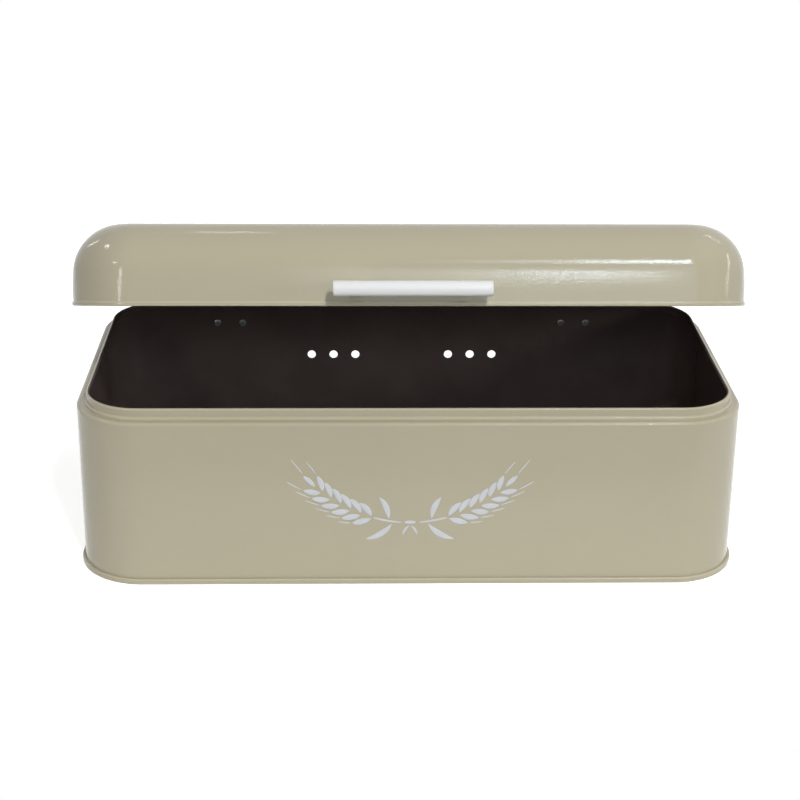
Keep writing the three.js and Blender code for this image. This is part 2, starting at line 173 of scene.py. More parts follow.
class BreadBoxHandleSizes(bpy.types.PropertyGroup):
    """Sizes of the handle and what holds it."""

    bar_radius: length("Bar radius", "Radius of the round bar", 0.00469)
    bar_length: length("Bar length", "Length of the bar", 0.095)
    bar_chamfer: length("Bar chamfer", "Chamfer at the bar's ends", 0.0004)
    height: length("Height", "Height of the bar over the lid's lower edge", 0.0106)
    stand_off: length("Stand-off", "Distance from the lid's face to the middle of the bar", 0.02)
    spacing: length("Post spacing", "Distance between the posts", 0.064)
    post_radius: length("Post radius", "Radius of a post", 0.0032)
    foot_radius: length("Foot radius", "Radius of a post's foot", 0.0046)
    foot_thickness: length("Foot thickness", "Thickness of a post's foot", 0.0016)
    screw_radius: length("Screw radius", "Radius of a screw's shank", 0.0019)
    screw_reach: length("Screw reach", "How far a screw goes into its post", 0.008)
    head_radius: length("Head radius", "Radius of a screw's head", 0.0038)
    head_height: length("Head height", "Height of a screw's head", 0.0022)
    slot_width: length("Slot width", "Width of the driver slot", 0.001)
    slot_depth: length("Slot depth", "Depth of the driver slot", 0.001)
    washer_radius: length("Washer radius", "Outer radius of a washer", 0.0048)
    washer_thickness: length("Washer thickness", "Thickness of a washer", 0.0008)


class BreadBoxHingeSizes(bpy.types.PropertyGroup):
    """Sizes of the two hinges and their rivets."""

    spacing: length("Spacing", "Distance between the hinges", 0.25)
    width: length("Width", "Width of a leaf", 0.032)
    middle: length("Middle knuckle", "Width of the lid leaf's knuckle", 0.012)
    thickness: length("Thickness", "Thickness of a leaf", 0.001)
    leaf: length("Leaf length", "Length of a leaf from the pin", 0.017)
    corner: length("Leaf corner", "Radius of a leaf's corners", 0.003)
    joggle_start: length("Joggle start", "Where a leaf starts to step back to its wall", 0.0034)
    joggle_length: length("Joggle length", "Length of that step", 0.0014)
    joggle_bend: length("Joggle bend", "Centre line radius of that step's bends", 0.001)
    joggle_lead: length("Joggle lead", "Straight from that step to the flat", 0.0006)
    hem_clearance: length("Hem clearance", "Gap between a leaf and the lid's hem", 0.0004)
    pin_radius: length("Pin radius", "Radius of a pin", 0.0012)
    pin_head: length("Pin head", "Radius of a pin's head", 0.0019)
    pin_head_length: length("Pin head length", "Length of a pin's head", 0.0009)
    heel_reach: length("Heel reach", "How far the stop heel reaches from the pin", 0.0052)
    heel_dip: length("Heel dip", "How far the heel starts outside the knuckle's bore", 0.0004)
    rivet_spacing: length("Rivet spacing", "Distance between a leaf's rivets", 0.018)
    rivet_place: length("Rivet place", "Distance of the rivets from the pin", 0.0115)
    rivet_shank: length("Rivet shank", "Radius of a rivet's shank", 0.0015)
    rivet_head: length("Rivet head", "Radius of a rivet's head", 0.003)
    rivet_head_height: length("Rivet head height", "Height of a rivet's head", 0.0011)
    rivet_tail: length("Rivet tail", "Radius of a rivet's tail", 0.0026)
    rivet_tail_height: length("Rivet tail height", "Height of a rivet's tail", 0.0008)
    wrap: degrees("Knuckle wrap", "How far a knuckle is rolled", 290)
    full_opening: degrees("Full opening", "Opening at which the heel meets the leaf", OPEN_TO - OPEN_FROM)


class BreadBoxPrintSizes(bpy.types.PropertyGroup):
    """Sizes of the printed wheat ears on the front."""

    height: length("Height", "Height of the tie over the table", 0.0425)
    foot: length("Foot", "Distance of a stem's foot from the middle", 0.0052)
    reach: length("Reach", "Length of a stem and its ear", 0.071)
    start_angle: degrees("Start angle", "Rise of a stem at its foot", 4)
    end_angle: degrees("End angle", "Rise of an ear at its tip", 52)
    ear_start: length("Ear start", "Where the ear starts along the stem", 0.0195)
    kernel_pitch: length("Grain pitch", "Distance between grains along the ear", 0.0072)
    kernel_length: length("Grain length", "Length of one grain", 0.0118)
    kernel_width: length("Grain width", "Width of one grain", 0.0041)
    kernel_lean: degrees("Grain lean", "How far a grain leans out from the ear", 33)
    awn_length: length("Bristle length", "Length of a bristle", 0.0105)
    awn_width: length("Bristle width", "Width of a bristle", 0.0007)
    stem_width: length("Stem width", "Width of the stem", 0.0013)
    ink: length("Ink", "Thickness of the ink", 0.00004)
    kernels: number("Grains", "Grains on each side of an ear", 6, 2)


class BreadBoxFinishes(bpy.types.PropertyGroup):
    """Colours and finishes."""

    coat: colour("Coat", "Khaki powder coat outside", (0.4, 0.357, 0.248))
    lacquer: colour("Lacquer", "Dark lacquer inside", (0.14, 0.104, 0.092))
    handle: colour("Handle coat", "White coat of the handle", (0.71, 0.695, 0.675))
    ink: colour("Ink", "White print", (0.54, 0.54, 0.55))
    zinc: colour("Zinc", "Zinc plating", (0.56, 0.57, 0.58))
    coat_roughness: share("Coat roughness", "Roughness of the coat", 0.1)
    lacquer_roughness: share("Lacquer roughness", "Roughness of the lacquer", 0.16)
    handle_roughness: share("Handle roughness", "Roughness of the handle's coat", 0.32)
    peel_depth: length("Orange peel depth", "Depth of the coat's orange peel", 0.00006)
    peel_scale: share("Orange peel scale", "Waves of the orange peel in a metre", 620.0)


class BreadBoxStageSettings(bpy.types.PropertyGroup):
    """Camera and light."""

    focal: FloatProperty(name="Focal length", description="Focal length in millimetres", default=79.92)
    camera: FloatVectorProperty(
        name="Camera", description="Place of the camera", default=(-0.0354, -1.1138, 0.5300), subtype="XYZ",
        unit="LENGTH", precision=4
    )
    yaw: degrees("Yaw", "Turn to the right", 1.616)
    pitch: degrees("Pitch", "Tilt down", 21.93)
    roll: degrees("Roll", "Turn of the picture", 0.541)
    ambient: share("Ambient", "Strength of the light from above and all round", 0.09)
    lean: share("Lean", "How much more of it comes from the right", 0.8)
    below: share("Light from below", "Strength of the light from under the horizon", 0.02)
    key: share("Key light", "Power of the key light in watts", 11.2)
    fill: share("Fill light", "Power of the light at the right in watts", 1.9)
    back: share("Back light", "Power of the low light behind in watts", 5.5)
    top: share("Top light", "Power of the top light in watts", 13.0)
    line: share("Line lights", "Factor on the power of the lights that draw a line along the lid's bend", 1.25)
    soft: share("Soft lights", "Factor on the power of the soft boxes over the camera", 0.85)
    gloss_tint: colour("Gloss tint", "Colour of the line lights and soft lights", (0.74, 0.86, 1.0))
    rim: share("Rim lights", "Factor on the power of the lights at the sides", 1.3)
    floor_glow: share("Floor glow", "How much the table shines for the camera", 0.7)
    table_front: length("Table front", "How far the table reaches to the front", 0.3)


GROUPS = (
    ("bread_box_sheet", BreadBoxSheetSizes),
    ("bread_box_handle", BreadBoxHandleSizes),
    ("bread_box_hinge", BreadBoxHingeSizes),
    ("bread_box_print", BreadBoxPrintSizes),
    ("bread_box_finish", BreadBoxFinishes),
    ("bread_box_stage", BreadBoxStageSettings),
)


# Curves and surfaces


def rounded(corners):
    """Centre line through corners (a, b, radius), with an arc at each inner corner.

    An arc touches both straights at radius * tan(turn / 2) from the corner. Where the arcs at both ends of a straight
    want more than its length, each gives way in the same share.
    """
    points = np.array([corner[:2] for corner in corners], float)
    legs = np.diff(points, axis=0)
    length_of = np.linalg.norm(legs, axis=1)
    heading = legs / length_of[:, None]
    turns = np.arccos(np.clip((heading[:-1] * heading[1:]).sum(1), -1, 1))
    radii = np.array([corner[2] for corner in corners[1:-1]])
    wanted = np.concatenate([[0.0], radii * np.tan(turns / 2), [0.0]])
    room = length_of / np.maximum(wanted[:-1] + wanted[1:], 1e-9)
    tangents = wanted[1:-1] * np.minimum(1, np.minimum(room[:-1], room[1:]))
    parts = [points[:1]]
    for i in range(1, len(points) - 1):
        back, ahead, turn, tangent = -heading[i - 1], heading[i], turns[i - 1], tangents[i - 1]
        if tangent < SAME_POINT:
            parts.append(points[i : i + 1])
            continue
        middle = back + ahead
        centre = points[i] + middle / np.linalg.norm(middle) * tangent / math.sin(turn / 2)
        side = np.sign(back[0] * ahead[1] - back[1] * ahead[0])
        angle = -side * turn * np.linspace(0, 1, max(2, math.ceil(turn / ARC_FACET)) + 1)
        spoke = points[i] + back * tangent - centre
        parts.append(centre + np.stack([
            spoke[0] * np.cos(angle) - spoke[1] * np.sin(angle),
            spoke[0] * np.sin(angle) + spoke[1] * np.cos(angle),
        ], axis=1))
    parts.append(points[-1:])
    path = np.concatenate(parts)
    apart = np.linalg.norm(np.diff(path, axis=0), axis=1) > SAME_POINT
    return path[np.concatenate([[True], apart])]


def offset(path, distance):
    """The path moved to its left by a distance: each point along its mitre, 1 / cos(half turn) further."""
    ahead = np.diff(path, axis=0)
    ahead /= np.linalg.norm(ahead, axis=1)[:, None]
    before, after = np.concatenate([ahead[:1], ahead]), np.concatenate([ahead, ahead[-1:]])
    across = before + after
    across /= np.linalg.norm(across, axis=1)[:, None]
    stretch = distance / (across * before).sum(1)
    return path + np.stack([-across[:, 1], across[:, 0]], axis=1) * stretch[:, None]


def sharpness(path, side):
    """1 on the outside of the tightest bends and 0 where the path is straight: 1 - radius / reach, at least 0.

    Side 1 is the face to the left of the path and -1 the one to its right. The hollow side of a bend has 0.
    """
    ahead = np.diff(path, axis=0)
    span = np.linalg.norm(ahead, axis=1)
    angle = np.unwrap(np.arctan2(ahead[:, 1], ahead[:, 0]))
    turn = np.concatenate([[0.0], np.maximum(-side * np.diff(angle), 0), [0.0]])
    share_of = np.concatenate([[span[0]], (span[:-1] + span[1:]) / 2, [span[-1]]])
    return np.clip(1 - np.minimum(share_of, BEND_REACH) / np.maximum(turn, 1e-6) / BEND_REACH, 0, 1)


def outline(sizes, inset, height):
    """Rounded rectangle at an inset and a height, for whole arrays of both.

    x = sx (width / 2 - inset - r) + r cos a and y = sy (depth / 2 - inset - r) + r sin a with
    r = corner - inset, and each straight side is cut evenly. Gives (rows, columns, 3).
    """
    inset, height = np.asarray(inset, float)[:, None, None], np.asarray(height, float)
    radius = np.maximum(sizes.corner - inset, LEAST_RADIUS)
    quarter = np.arange(4)[:, None]
    angle = (quarter + np.linspace(0, 1, sizes.corner_steps + 1)) * math.pi / 2
    sign_x, sign_y = np.array([1, -1, -1, 1])[:, None], np.array([1, 1, -1, -1])[:, None]
    x = sign_x * (sizes.width / 2 - inset - radius) + radius * np.cos(angle)
    y = sign_y * (sizes.depth / 2 - inset - radius) + radius * np.sin(angle)
    between = np.linspace(0, 1, sizes.side_steps + 1)[1:-1]
    flat = []
    for values in (x, y):
        start, end = values[:, :, -1:], np.roll(values[:, :, :1], -1, axis=1)
        side = start + (end - start) * between
        flat.append(np.concatenate([values, side], axis=2).reshape(len(height), -1))
    return np.stack([flat[0], flat[1], np.broadcast_to(height[:, None], flat[0].shape)], axis=2)


def grid_faces(rows, columns, closed=False):
    """Quads of a grid whose columns close on themselves, and its rows too if closed. Rows run up the outside."""
    row, column = np.meshgrid(np.arange(rows if closed else rows - 1), np.arange(columns), indexing="ij")
    upper, beside = (row + 1) % rows, (column + 1) % columns
    quads = [row * columns + column, row * columns + beside, upper * columns + beside, upper * columns + column]
    return np.stack(quads, axis=-1).reshape(-1, 4)


def patch_faces(rows, columns, count=1):
    """Quads of a number of open grids, one after another."""
    row, column = np.meshgrid(np.arange(rows - 1), np.arange(columns - 1), indexing="ij")
    first = row * columns + column
    quads = np.stack([first, first + 1, first + columns + 1, first + columns], axis=-1).reshape(-1, 4)
    return (quads[None] + (np.arange(count) * rows * columns)[:, None, None]).reshape(-1, 4)


def sheet_round(sizes, path, lacquered, capped=False, crown=0.0):
    """Sheet bent along a path and carried round the outline.

    Both faces are the path moved by half the sheet, and each point of them becomes a ring. A capped sheet goes on
    to the middle in rings that shrink by s from 1 to 0 and rise by crown (1 - s^2). lacquered(path, side) gives
    each point's share of lacquer, where side is -1 and then 1. Gives points, faces and the values of each point.
    """
    half = sizes.sheet / 2
    inner, outer = offset(path, -half), offset(path, half)
    section = np.concatenate([inner[::-1], outer])
    lacquer = np.concatenate([lacquered(path, -1)[::-1], lacquered(path, 1)])
    edge = np.concatenate([sharpness(path, -1)[::-1], sharpness(path, 1)])
    rings = outline(sizes, section[:, 0], section[:, 1])
    if capped:
        scale = np.linspace(1, 0, CAP_RINGS + 1)[1:]
        rise = (crown * (1 - scale**2))[:, None]
        caps = []
        for ring in (rings[0], rings[-1]):
            cap = np.stack([ring[:, 0] * scale[:, None], ring[:, 1] * scale[:, None], ring[:, 2] + rise], axis=2)
            caps.append(cap)
        rings = np.concatenate([caps[0][::-1], rings, caps[1]])
        lacquer = np.pad(lacquer, len(scale), mode="edge")
        edge = np.pad(edge, len(scale))
    rows, columns = rings.shape[:2]
    values = {"lacquer": np.repeat(lacquer, columns), "edge": np.repeat(edge, columns)}
    return rings.reshape(-1, 3), grid_faces(rows, columns, closed=not capped), values


def turned(profile, axis, origin, facets, closed=False):
    """Profile of (radius, height) turned about an axis along X or Y through an origin.

    Across the axis a point lies at radius cos a and radius sin a. A closed profile makes a ring.
    """
    profile = np.asarray(profile, float)
    angle = np.arange(facets) * 2 * math.pi / facets
    points = np.stack([
        profile[:, :1] * np.cos(angle), profile[:, :1] * np.sin(angle),
        np.broadcast_to(profile[:, 1:], (len(profile), facets)),
    ], axis=2).reshape(-1, 3)
    order = {"x": [2, 0, 1], "y": [1, 2, 0]}[axis]
    return points[:, order] + np.asarray(origin, float), grid_faces(len(profile), facets, closed), {}


def tube(rings):
    """Rings (rows, columns, 3) joined to a solid that has a flat face at each end."""
    rows, columns = rings.shape[:2]
    end = columns * (rows - 1)
    faces = grid_faces(rows, columns).tolist()
    faces += [list(range(columns))[::-1], list(range(end, end + columns))]
    return rings.reshape(-1, 3), faces, {}


def strip(path, half_width, thickness, middle_x, side):
    """Strip of sheet along a path (away, along) about the pins, with a half width for each point of it.

    Each point of the path becomes a ring of four corners: half the thickness to both sides of it and the half width
    to both sides of the middle. Away lies along +Y and along lies along +Z or, for side -1, along -Z.
    """
    path, half_width = np.asarray(path, float), np.broadcast_to(half_width, len(path))
    left, right = offset(path, thickness / 2), offset(path, -thickness / 2)
    corners = [(left, -1), (left, 1), (right, 1), (right, -1)]
    points, faces, values = tube(np.stack([
        np.stack([middle_x + sign * half_width, PIVOT_Y + at[:, 0], PIVOT_Z + side * at[:, 1]], axis=1)
        for at, sign in corners
    ], axis=1))
    return points, [face[::-1] for face in faces] if side > 0 else faces, values


def joined(parts):
    """Several (points, faces, values) as one."""
    points, faces, start = [], [], 0
    for part_points, part_faces, _ in parts:
        points.append(part_points)
        faces += [[start + corner for corner in face] for face in np.asarray(part_faces).tolist()]
        start += len(part_points)
    return np.concatenate(points), faces, {}


def lifted(points):
    """Points of the closed lid turned about the pins to the pose at rest.

    From the pins, y' = y cos t + z sin t and z' = z cos t - y sin t.
    """
    y, z = points[:, 1] - PIVOT_Y, points[:, 2] - PIVOT_Z
    cos, sin = math.cos(REST_OPENING), math.sin(REST_OPENING)
    return np.stack([points[:, 0], PIVOT_Y + y * cos + z * sin, PIVOT_Z + z * cos - y * sin], axis=1)


# Pieces


def make_piece(name, made, bevel=0.0):
    """An object at the origin with the mesh in place. Points that coincide, as at a pole, become one."""
    points, faces, values = made
    mesh = bpy.data.meshes.new(name)
    mesh.from_pydata(np.asarray(points).tolist(), [], faces.tolist() if isinstance(faces, np.ndarray) else faces)
    for key, numbers in values.items():
        mesh.attributes.new(key, "FLOAT", "POINT").data.foreach_set("value", np.asarray(numbers, np.float32))
    work = bmesh.new()
    work.from_mesh(mesh)
    bmesh.ops.remove_doubles(work, verts=work.verts, dist=SAME_POINT)
    work.to_mesh(mesh)
    work.free()
    smooth_mesh(mesh)
    piece = bpy.data.objects.new(name, mesh)
    bpy.context.scene.collection.objects.link(piece)
    if bevel:
        soften = piece.modifiers.new("softened edges", "BEVEL")
        soften.width = bevel
        soften.segments = 2
        soften.limit_method = "ANGLE"
        soften.angle_limit = BEVEL_ANGLE
    return piece


def smooth_mesh(mesh):
    """Smooth shading with sharp edges."""
    mesh.polygons.foreach_set("use_smooth", np.ones(len(mesh.polygons), bool))
    mesh.set_sharp_from_angle(angle=SHARP_ANGLE)


def cut(piece, cutter):
    """Takes the cutter out of the piece, and deletes it."""
    boolean = piece.modifiers.new("cut", "BOOLEAN")
    boolean.operation, boolean.solver, boolean.object = "DIFFERENCE", "EXACT", cutter
    graph = bpy.context.evaluated_depsgraph_get()
    mesh = bpy.data.meshes.new_from_object(piece.evaluated_get(graph))
    piece.modifiers.remove(boolean)
    piece.data = mesh
    bpy.data.objects.remove(cutter)
    smooth_mesh(mesh)


def dress(piece, material, body, slot, *nodes):
    """Gives a piece its finish, its body and the CAD nodes that it stands for."""
    piece.data.materials.clear()
    piece.data.materials.append(material)
    if nodes:
        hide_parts(*nodes)
    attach(piece, body)


def add_piece(name, made, material, body, slot, *nodes, bevel=0.0):
    """A dressed piece. One that rides on the lid is worked out on the closed lid and turned to the pose here."""
    if body == "lid":
        made = (lifted(made[0]), *made[1:])
    dress(make_piece(name, made, bevel), material, body, slot, *nodes)


def wall_path(s):
    """Centre line of the wall: flange, side, shoulder, foot of the neck, neck and three quarters of a curl."""
    half = s.sheet / 2
    flange, ledge = s.sheet + s.gap + half, s.shoulder - half
    neck = s.neck_inset + half
    foot, step, curl = neck - s.neck_step, ledge + s.neck_foot, s.rim_curl - half
    rim = s.shoulder + s.neck - half
    return rounded([
        (-s.flange, flange),
        (half, flange, s.tight_bend),
        (half, ledge, s.shoulder_bend),
        (foot, ledge, s.tight_bend),
        (foot, step, s.neck_bend),
        (neck, step + s.neck_rise, s.neck_bend),
        (neck, rim, curl),
        (neck + 2 * curl, rim, curl),
        (neck + 2 * curl, rim - 2 * curl, curl),
        (neck + curl, rim - 2 * curl),
    ])


def pan_path(s):
    """Centre line of the bottom: hook over the flange, web on the table, inner leg, panel and raised field."""
    half = s.sheet / 2
    outside, inside = -(s.flange + s.gap + half), s.sheet + s.gap + half
    panel, field = s.panel_recess + half, s.field_inset + s.field_slope
    return rounded([
        (-s.seam_gap, s.seam_height - half),
        (outside, s.seam_height - half, s.tight_bend),
        (outside, half, s.tight_bend),
        (inside, half, s.tight_bend),
        (inside, panel, s.panel_bend),
        (s.field_inset, panel, s.panel_bend),
        (field, panel + s.field_rise, s.panel_bend),
        (field + s.field_slope, panel + s.field_rise),
    ])


def lid_path(s):
    """Centre line of the closed lid: inner leg of the hem, hem, side, upper bend and the start of the roof.

    The side swells by swell (1 - t^2), t from -1 at the hem to 1 at the bend, and the bend is an arc that starts at
    the slope where the side ends, 2 swell / half height.
    """
    half, base = s.sheet / 2, s.shoulder + s.gap
    outer, inner = half - s.hem_proud, s.hem_thickness - s.hem_proud - half
    top, radius, foot = base + s.lid_height - half, s.lid_bend - half, base + s.hem_height + s.hem_joggle
    tall = top - radius - foot
    slope = 4 * s.lid_swell / tall
    angle = np.linspace(slope, math.pi / 2, LID_BEND_FACETS + 1)
    bend = np.stack([half + radius * (1 - np.cos(angle)), top - radius * (1 - np.sin(angle))], axis=1)
    t = np.linspace(LID_SIDE_START, 1, LID_SIDE_ROWS + 1)[:-1]
    end = bend[0]
    side = np.stack([
        half + (end[0] - half) * (t + 1) / 2 - s.lid_swell * (1 - t**2), foot + (end[1] - foot) * (t + 1) / 2
    ], axis=1)
    hem = rounded([
        (inner, base + s.hem_height - s.sheet),
        (inner, base + half, s.hem_bend),
        (outer, base + half, s.hem_bend),
        (outer, base + s.hem_height, s.hem_bend),
        (half, foot, s.tight_bend),
        tuple(side[0]),
    ])
    return np.concatenate([hem, side[1:], bend, [(s.lid_bend + s.lid_crown, top)]])


def paint_vents(s, mesh):
    """Lacquer inside and coat outside on the points that the air holes left in the back wall."""
    count = len(mesh.vertices)
    points, lacquer, edge = np.empty(count * 3), np.empty(count), np.empty(count)
    mesh.vertices.foreach_get("co", points)
    mesh.attributes["lacquer"].data.foreach_get("value", lacquer)
    mesh.attributes["edge"].data.foreach_get("value", edge)
    x, y, z = points.reshape(-1, 3).T
    reach = s.vent_offset + s.vents * s.vent_pitch
    near = (np.abs(x) < reach) & (np.abs(z - s.vent_height) < 2 * s.vent_radius) & (y > s.depth / 2 - 2 * s.sheet)
    mesh.attributes["lacquer"].data.foreach_set("value", np.where(near, y < s.depth / 2 - s.sheet / 2, lacquer))
    mesh.attributes["edge"].data.foreach_set("value", np.where(near, 0.0, edge))


def make_body(s, finish):
    """The wall with its air holes, and its lock seam at the back."""

    def lacquered(path, side):
        past_rim = np.clip((path[:, 0] - s.neck_inset - s.rim_curl) / (0.4 * s.rim_curl) + 0.5, 0, 1)
        return np.ones(len(path)) if side < 0 else np.where(path[:, 1] > s.shoulder, past_rim, 0.0)

    wall = make_piece("wall_sheet", sheet_round(s, wall_path(s), lacquered))
    rod = [(0, -CUTTER_REACH), (s.vent_radius, -CUTTER_REACH), (s.vent_radius, CUTTER_REACH), (0, CUTTER_REACH)]
    holes = [
        turned(rod, "y", (sign * (s.vent_offset + i * s.vent_pitch), s.depth / 2, s.vent_height), facets=48)
        for i in range(s.vents) for sign in (-1, 1)
    ]
    cut(wall, make_piece("air_holes", joined(holes)))
    paint_vents(s, wall.data)
    dress(wall, finish["coat"], "bin", "body_coat", "body_wall")

    # The lock seam: a raised strip with a shallow groove near one edge, where the sheet's end is folded in.
    low, high = s.seam_height + s.gap, s.shoulder - s.shoulder_bend - s.sheet
    half, proud = s.seam_width / 2, s.seam_proud
    across = rounded([
        (half, -proud), (half, proud, proud * 0.8), (half * 0.72, proud, proud),
        (half * 0.66, proud * 0.72, proud), (half * 0.6, proud, proud), (-half, proud, proud * 0.8), (-half, -proud),
    ])
    rings = np.stack([
        np.stack([across[:, 0], s.depth / 2 + across[:, 1], np.full(len(across), height)], axis=1)
        for height in np.linspace(low, high, 3)
    ])
    add_piece("wall_lock_seam", tube(rings), finish["coat"], "bin", "body_coat")


def make_bottom(s, finish):
    """The bottom pan, lacquered on its upper face."""

    def lacquered(path, side):
        return np.full(len(path), side > 0, float)

    pan = sheet_round(s, pan_path(s), lacquered, capped=True)
    add_piece("bottom_sheet", pan, finish["coat"], "bin", "body_coat", "bottom_pan")


def make_lid(s, finish):
    """The lid, lacquered inside up to the fold of its hem."""

    def lacquered(path, side):
        start = np.concatenate([[0.0], np.cumsum(np.linalg.norm(np.diff(path, axis=0), axis=1))])
        leg = s.hem_height - s.sheet - s.tight_bend
        return np.ones(len(path)) if side < 0 else np.clip((leg * 0.6 - start) / (leg * 0.4), 0, 1)

    lid = sheet_round(s, lid_path(s), lacquered, capped=True, crown=s.lid_crown)
    add_piece("lid_sheet", lid, finish["coat"], "lid", "lid_coat", "lid_shell")


def make_handle(s, h, finish):
    """The bar, its posts, and the screws and washers inside the lid."""
    face, height = -s.depth / 2, s.shoulder + s.gap + h.height
    half, radius, chamfer, bend = h.bar_length / 2, h.bar_radius, h.bar_chamfer, h.bar_chamfer / 3
    bar = rounded([
        (0, -half), (radius - chamfer, -half, bend), (radius, chamfer - half, bend),
        (radius, half - chamfer, bend), (radius - chamfer, half, bend), (0, half),
    ])
    bar = turned(bar, "x", (0, face - h.stand_off, height), facets=96)
    add_piece("handle_round_bar", bar, finish["handle"], "lid", "handle_coat", "handle_bar")

    foot, fillet = h.foot_thickness, h.foot_thickness / 2
    post = rounded([
        (0, -h.stand_off), (h.post_radius, -h.stand_off, 0), (h.post_radius, -foot - s.gap, fillet),
        (h.foot_radius, -foot * 0.6 - s.gap, fillet / 2), (h.foot_radius, -s.gap, EDGE_ROUND), (0, -s.gap),
    ])
    hole, seat = h.screw_radius + s.gap, s.sheet + s.gap
    washer_top = seat + h.washer_thickness
    washer = [(hole, washer_top), (hole, seat), (h.washer_radius, seat), (h.washer_radius, washer_top)]
    head = washer_top + s.gap
    top = head + h.head_height
    screw = rounded([
        (0, -h.screw_reach), (h.screw_radius, -h.screw_reach, 2 * EDGE_ROUND), (h.screw_radius, head, 0),
        (h.head_radius, head, EDGE_ROUND), (h.head_radius, head + h.head_height * 0.4, h.head_height * 0.6),
        (h.head_radius * 0.6, top, h.head_height), (0, top),
    ])
    for hand, sign in HANDS:
        origin = (sign * h.spacing / 2, face, height)
        add_piece(
            f"handle_turned_post_{hand}", turned(post, "y", origin, facets=64), finish["handle"], "lid", "handle_coat",
            f"handle_post_{hand}"
        )
        add_piece(
            f"handle_flat_washer_{hand}", turned(washer, "y", origin, facets=48, closed=True), finish["zinc"], "lid",
            "zinc_steel", f"handle_washer_{hand}", bevel=EDGE_BEVEL
        )
        bolt = make_piece(f"handle_slotted_screw_{hand}", turned(screw, "y", origin, facets=48))
        cut(bolt, make_piece("driver_slot", slot_box(h, origin, top)))
        move_mesh(bolt.data, lifted)
        dress(bolt, finish["zinc"], "lid", "zinc_steel", f"handle_screw_{hand}")


def slot_box(h, origin, top):
    """The box that cuts the driver slot, along X, into a screw's head with its top at +Y. It reaches past the head."""
    corner = np.array([
        (-1, -1, -1), (1, -1, -1), (1, 1, -1), (-1, 1, -1), (-1, -1, 1), (1, -1, 1), (1, 1, 1), (-1, 1, 1),
    ])
    points = np.add(origin, (0, top, 0)) + corner * (h.head_radius * 1.2, h.slot_depth, h.slot_width / 2)
    return points, [[0, 3, 2, 1], [4, 5, 6, 7], [0, 1, 5, 4], [1, 2, 6, 5], [2, 3, 7, 6], [3, 0, 4, 7]], {}


def move_mesh(mesh, function):
    """Moves every point of a mesh by a function of the points."""
    points = np.empty(len(mesh.vertices) * 3)
    mesh.vertices.foreach_get("co", points)
    mesh.vertices.foreach_set("co", function(points.reshape(-1, 3)).ravel())
    mesh.update()


def leaf_step(s, h):
    """How far a leaf's flat lies behind its knuckle, so that it clears the lid's hem."""
    return s.hem_proud + h.hem_clearance - s.gap


def knuckle_path(s, h):
    """Centre line of a leaf's rolled knuckle and joggle, from the curl's end to where the flat starts."""
    radius = h.pin_radius + s.gap + h.thickness / 2
    angle = math.pi + np.linspace(h.wrap, 0, KNUCKLE_FACETS + 1)
    curl = np.stack([np.cos(angle), np.sin(angle)], axis=1) * radius
    back, end = leaf_step(s, h), h.joggle_start + h.joggle_length
    step = rounded([
        (-radius, 0), (-radius, h.joggle_start, h.joggle_bend), (-radius - back, end, h.joggle_bend),
        (-radius - back, end + h.joggle_lead),
    ])
    return np.concatenate([curl, step[1:]])


def plate_path(s, h):
    """Centre line and half widths of a leaf's flat: w = W / 2 - r + sqrt(r^2 - u^2) in its rounded corners."""
    away = -(h.pin_radius + s.gap + h.thickness / 2) - leaf_step(s, h)
    start = h.joggle_start + h.joggle_length + h.joggle_lead
    round_part = h.leaf - h.corner + h.corner * np.sin(np.linspace(0, math.pi / 2, LEAF_CORNER_FACETS + 1))
    along = np.concatenate([[start], round_part])
    u = np.clip(along - (h.leaf - h.corner), 0, h.corner)
    half = h.width / 2 - h.corner + np.sqrt(np.maximum(h.corner**2 - u**2, 0))
    return np.stack([np.full(len(along), away), along], axis=1), half


def heel_path(s, h):
    """Centre line of the lid leaf's stop heel: it lies along the body leaf once the lid is turned to full opening."""
    bore = h.pin_radius + s.gap
    away = -bore - leaf_step(s, h) + s.gap + h.thickness / 2
    down = np.array([(away, -h.heel_reach), (away, -bore - h.heel_dip)])
    cos, sin = math.cos(h.full_opening), math.sin(h.full_opening)
    return np.stack([down[:, 0] * cos - down[:, 1] * sin, down[:, 0] * sin + down[:, 1] * cos], axis=1)


def make_leaf(s, h, finish, hand, middle_x, side):
    """One leaf: flat and knuckles, and on the lid's leaf the heel that stops it. Side is -1 for the body's leaf."""
    knuckle, (plate, half) = knuckle_path(s, h), plate_path(s, h)
    parts = [strip(plate, half, h.thickness, middle_x, side)]
    if side < 0:
        width = (h.width - h.middle) / 2 - s.gap
        reach = (h.width - width) / 2
        parts += [strip(knuckle, width / 2, h.thickness, middle_x + end * reach, side) for end in (-1, 1)]
    else:
        parts += [strip(path, h.middle / 2, h.thickness, middle_x, side) for path in (knuckle, heel_path(s, h))]
    body, word = SIDES[side]
    add_piece(
        f"hinge_{word}_leaf_{hand}", joined(parts), finish["zinc"], body, "zinc_steel", f"hinge_{hand}_{word}_leaf",
        bevel=EDGE_BEVEL
    )


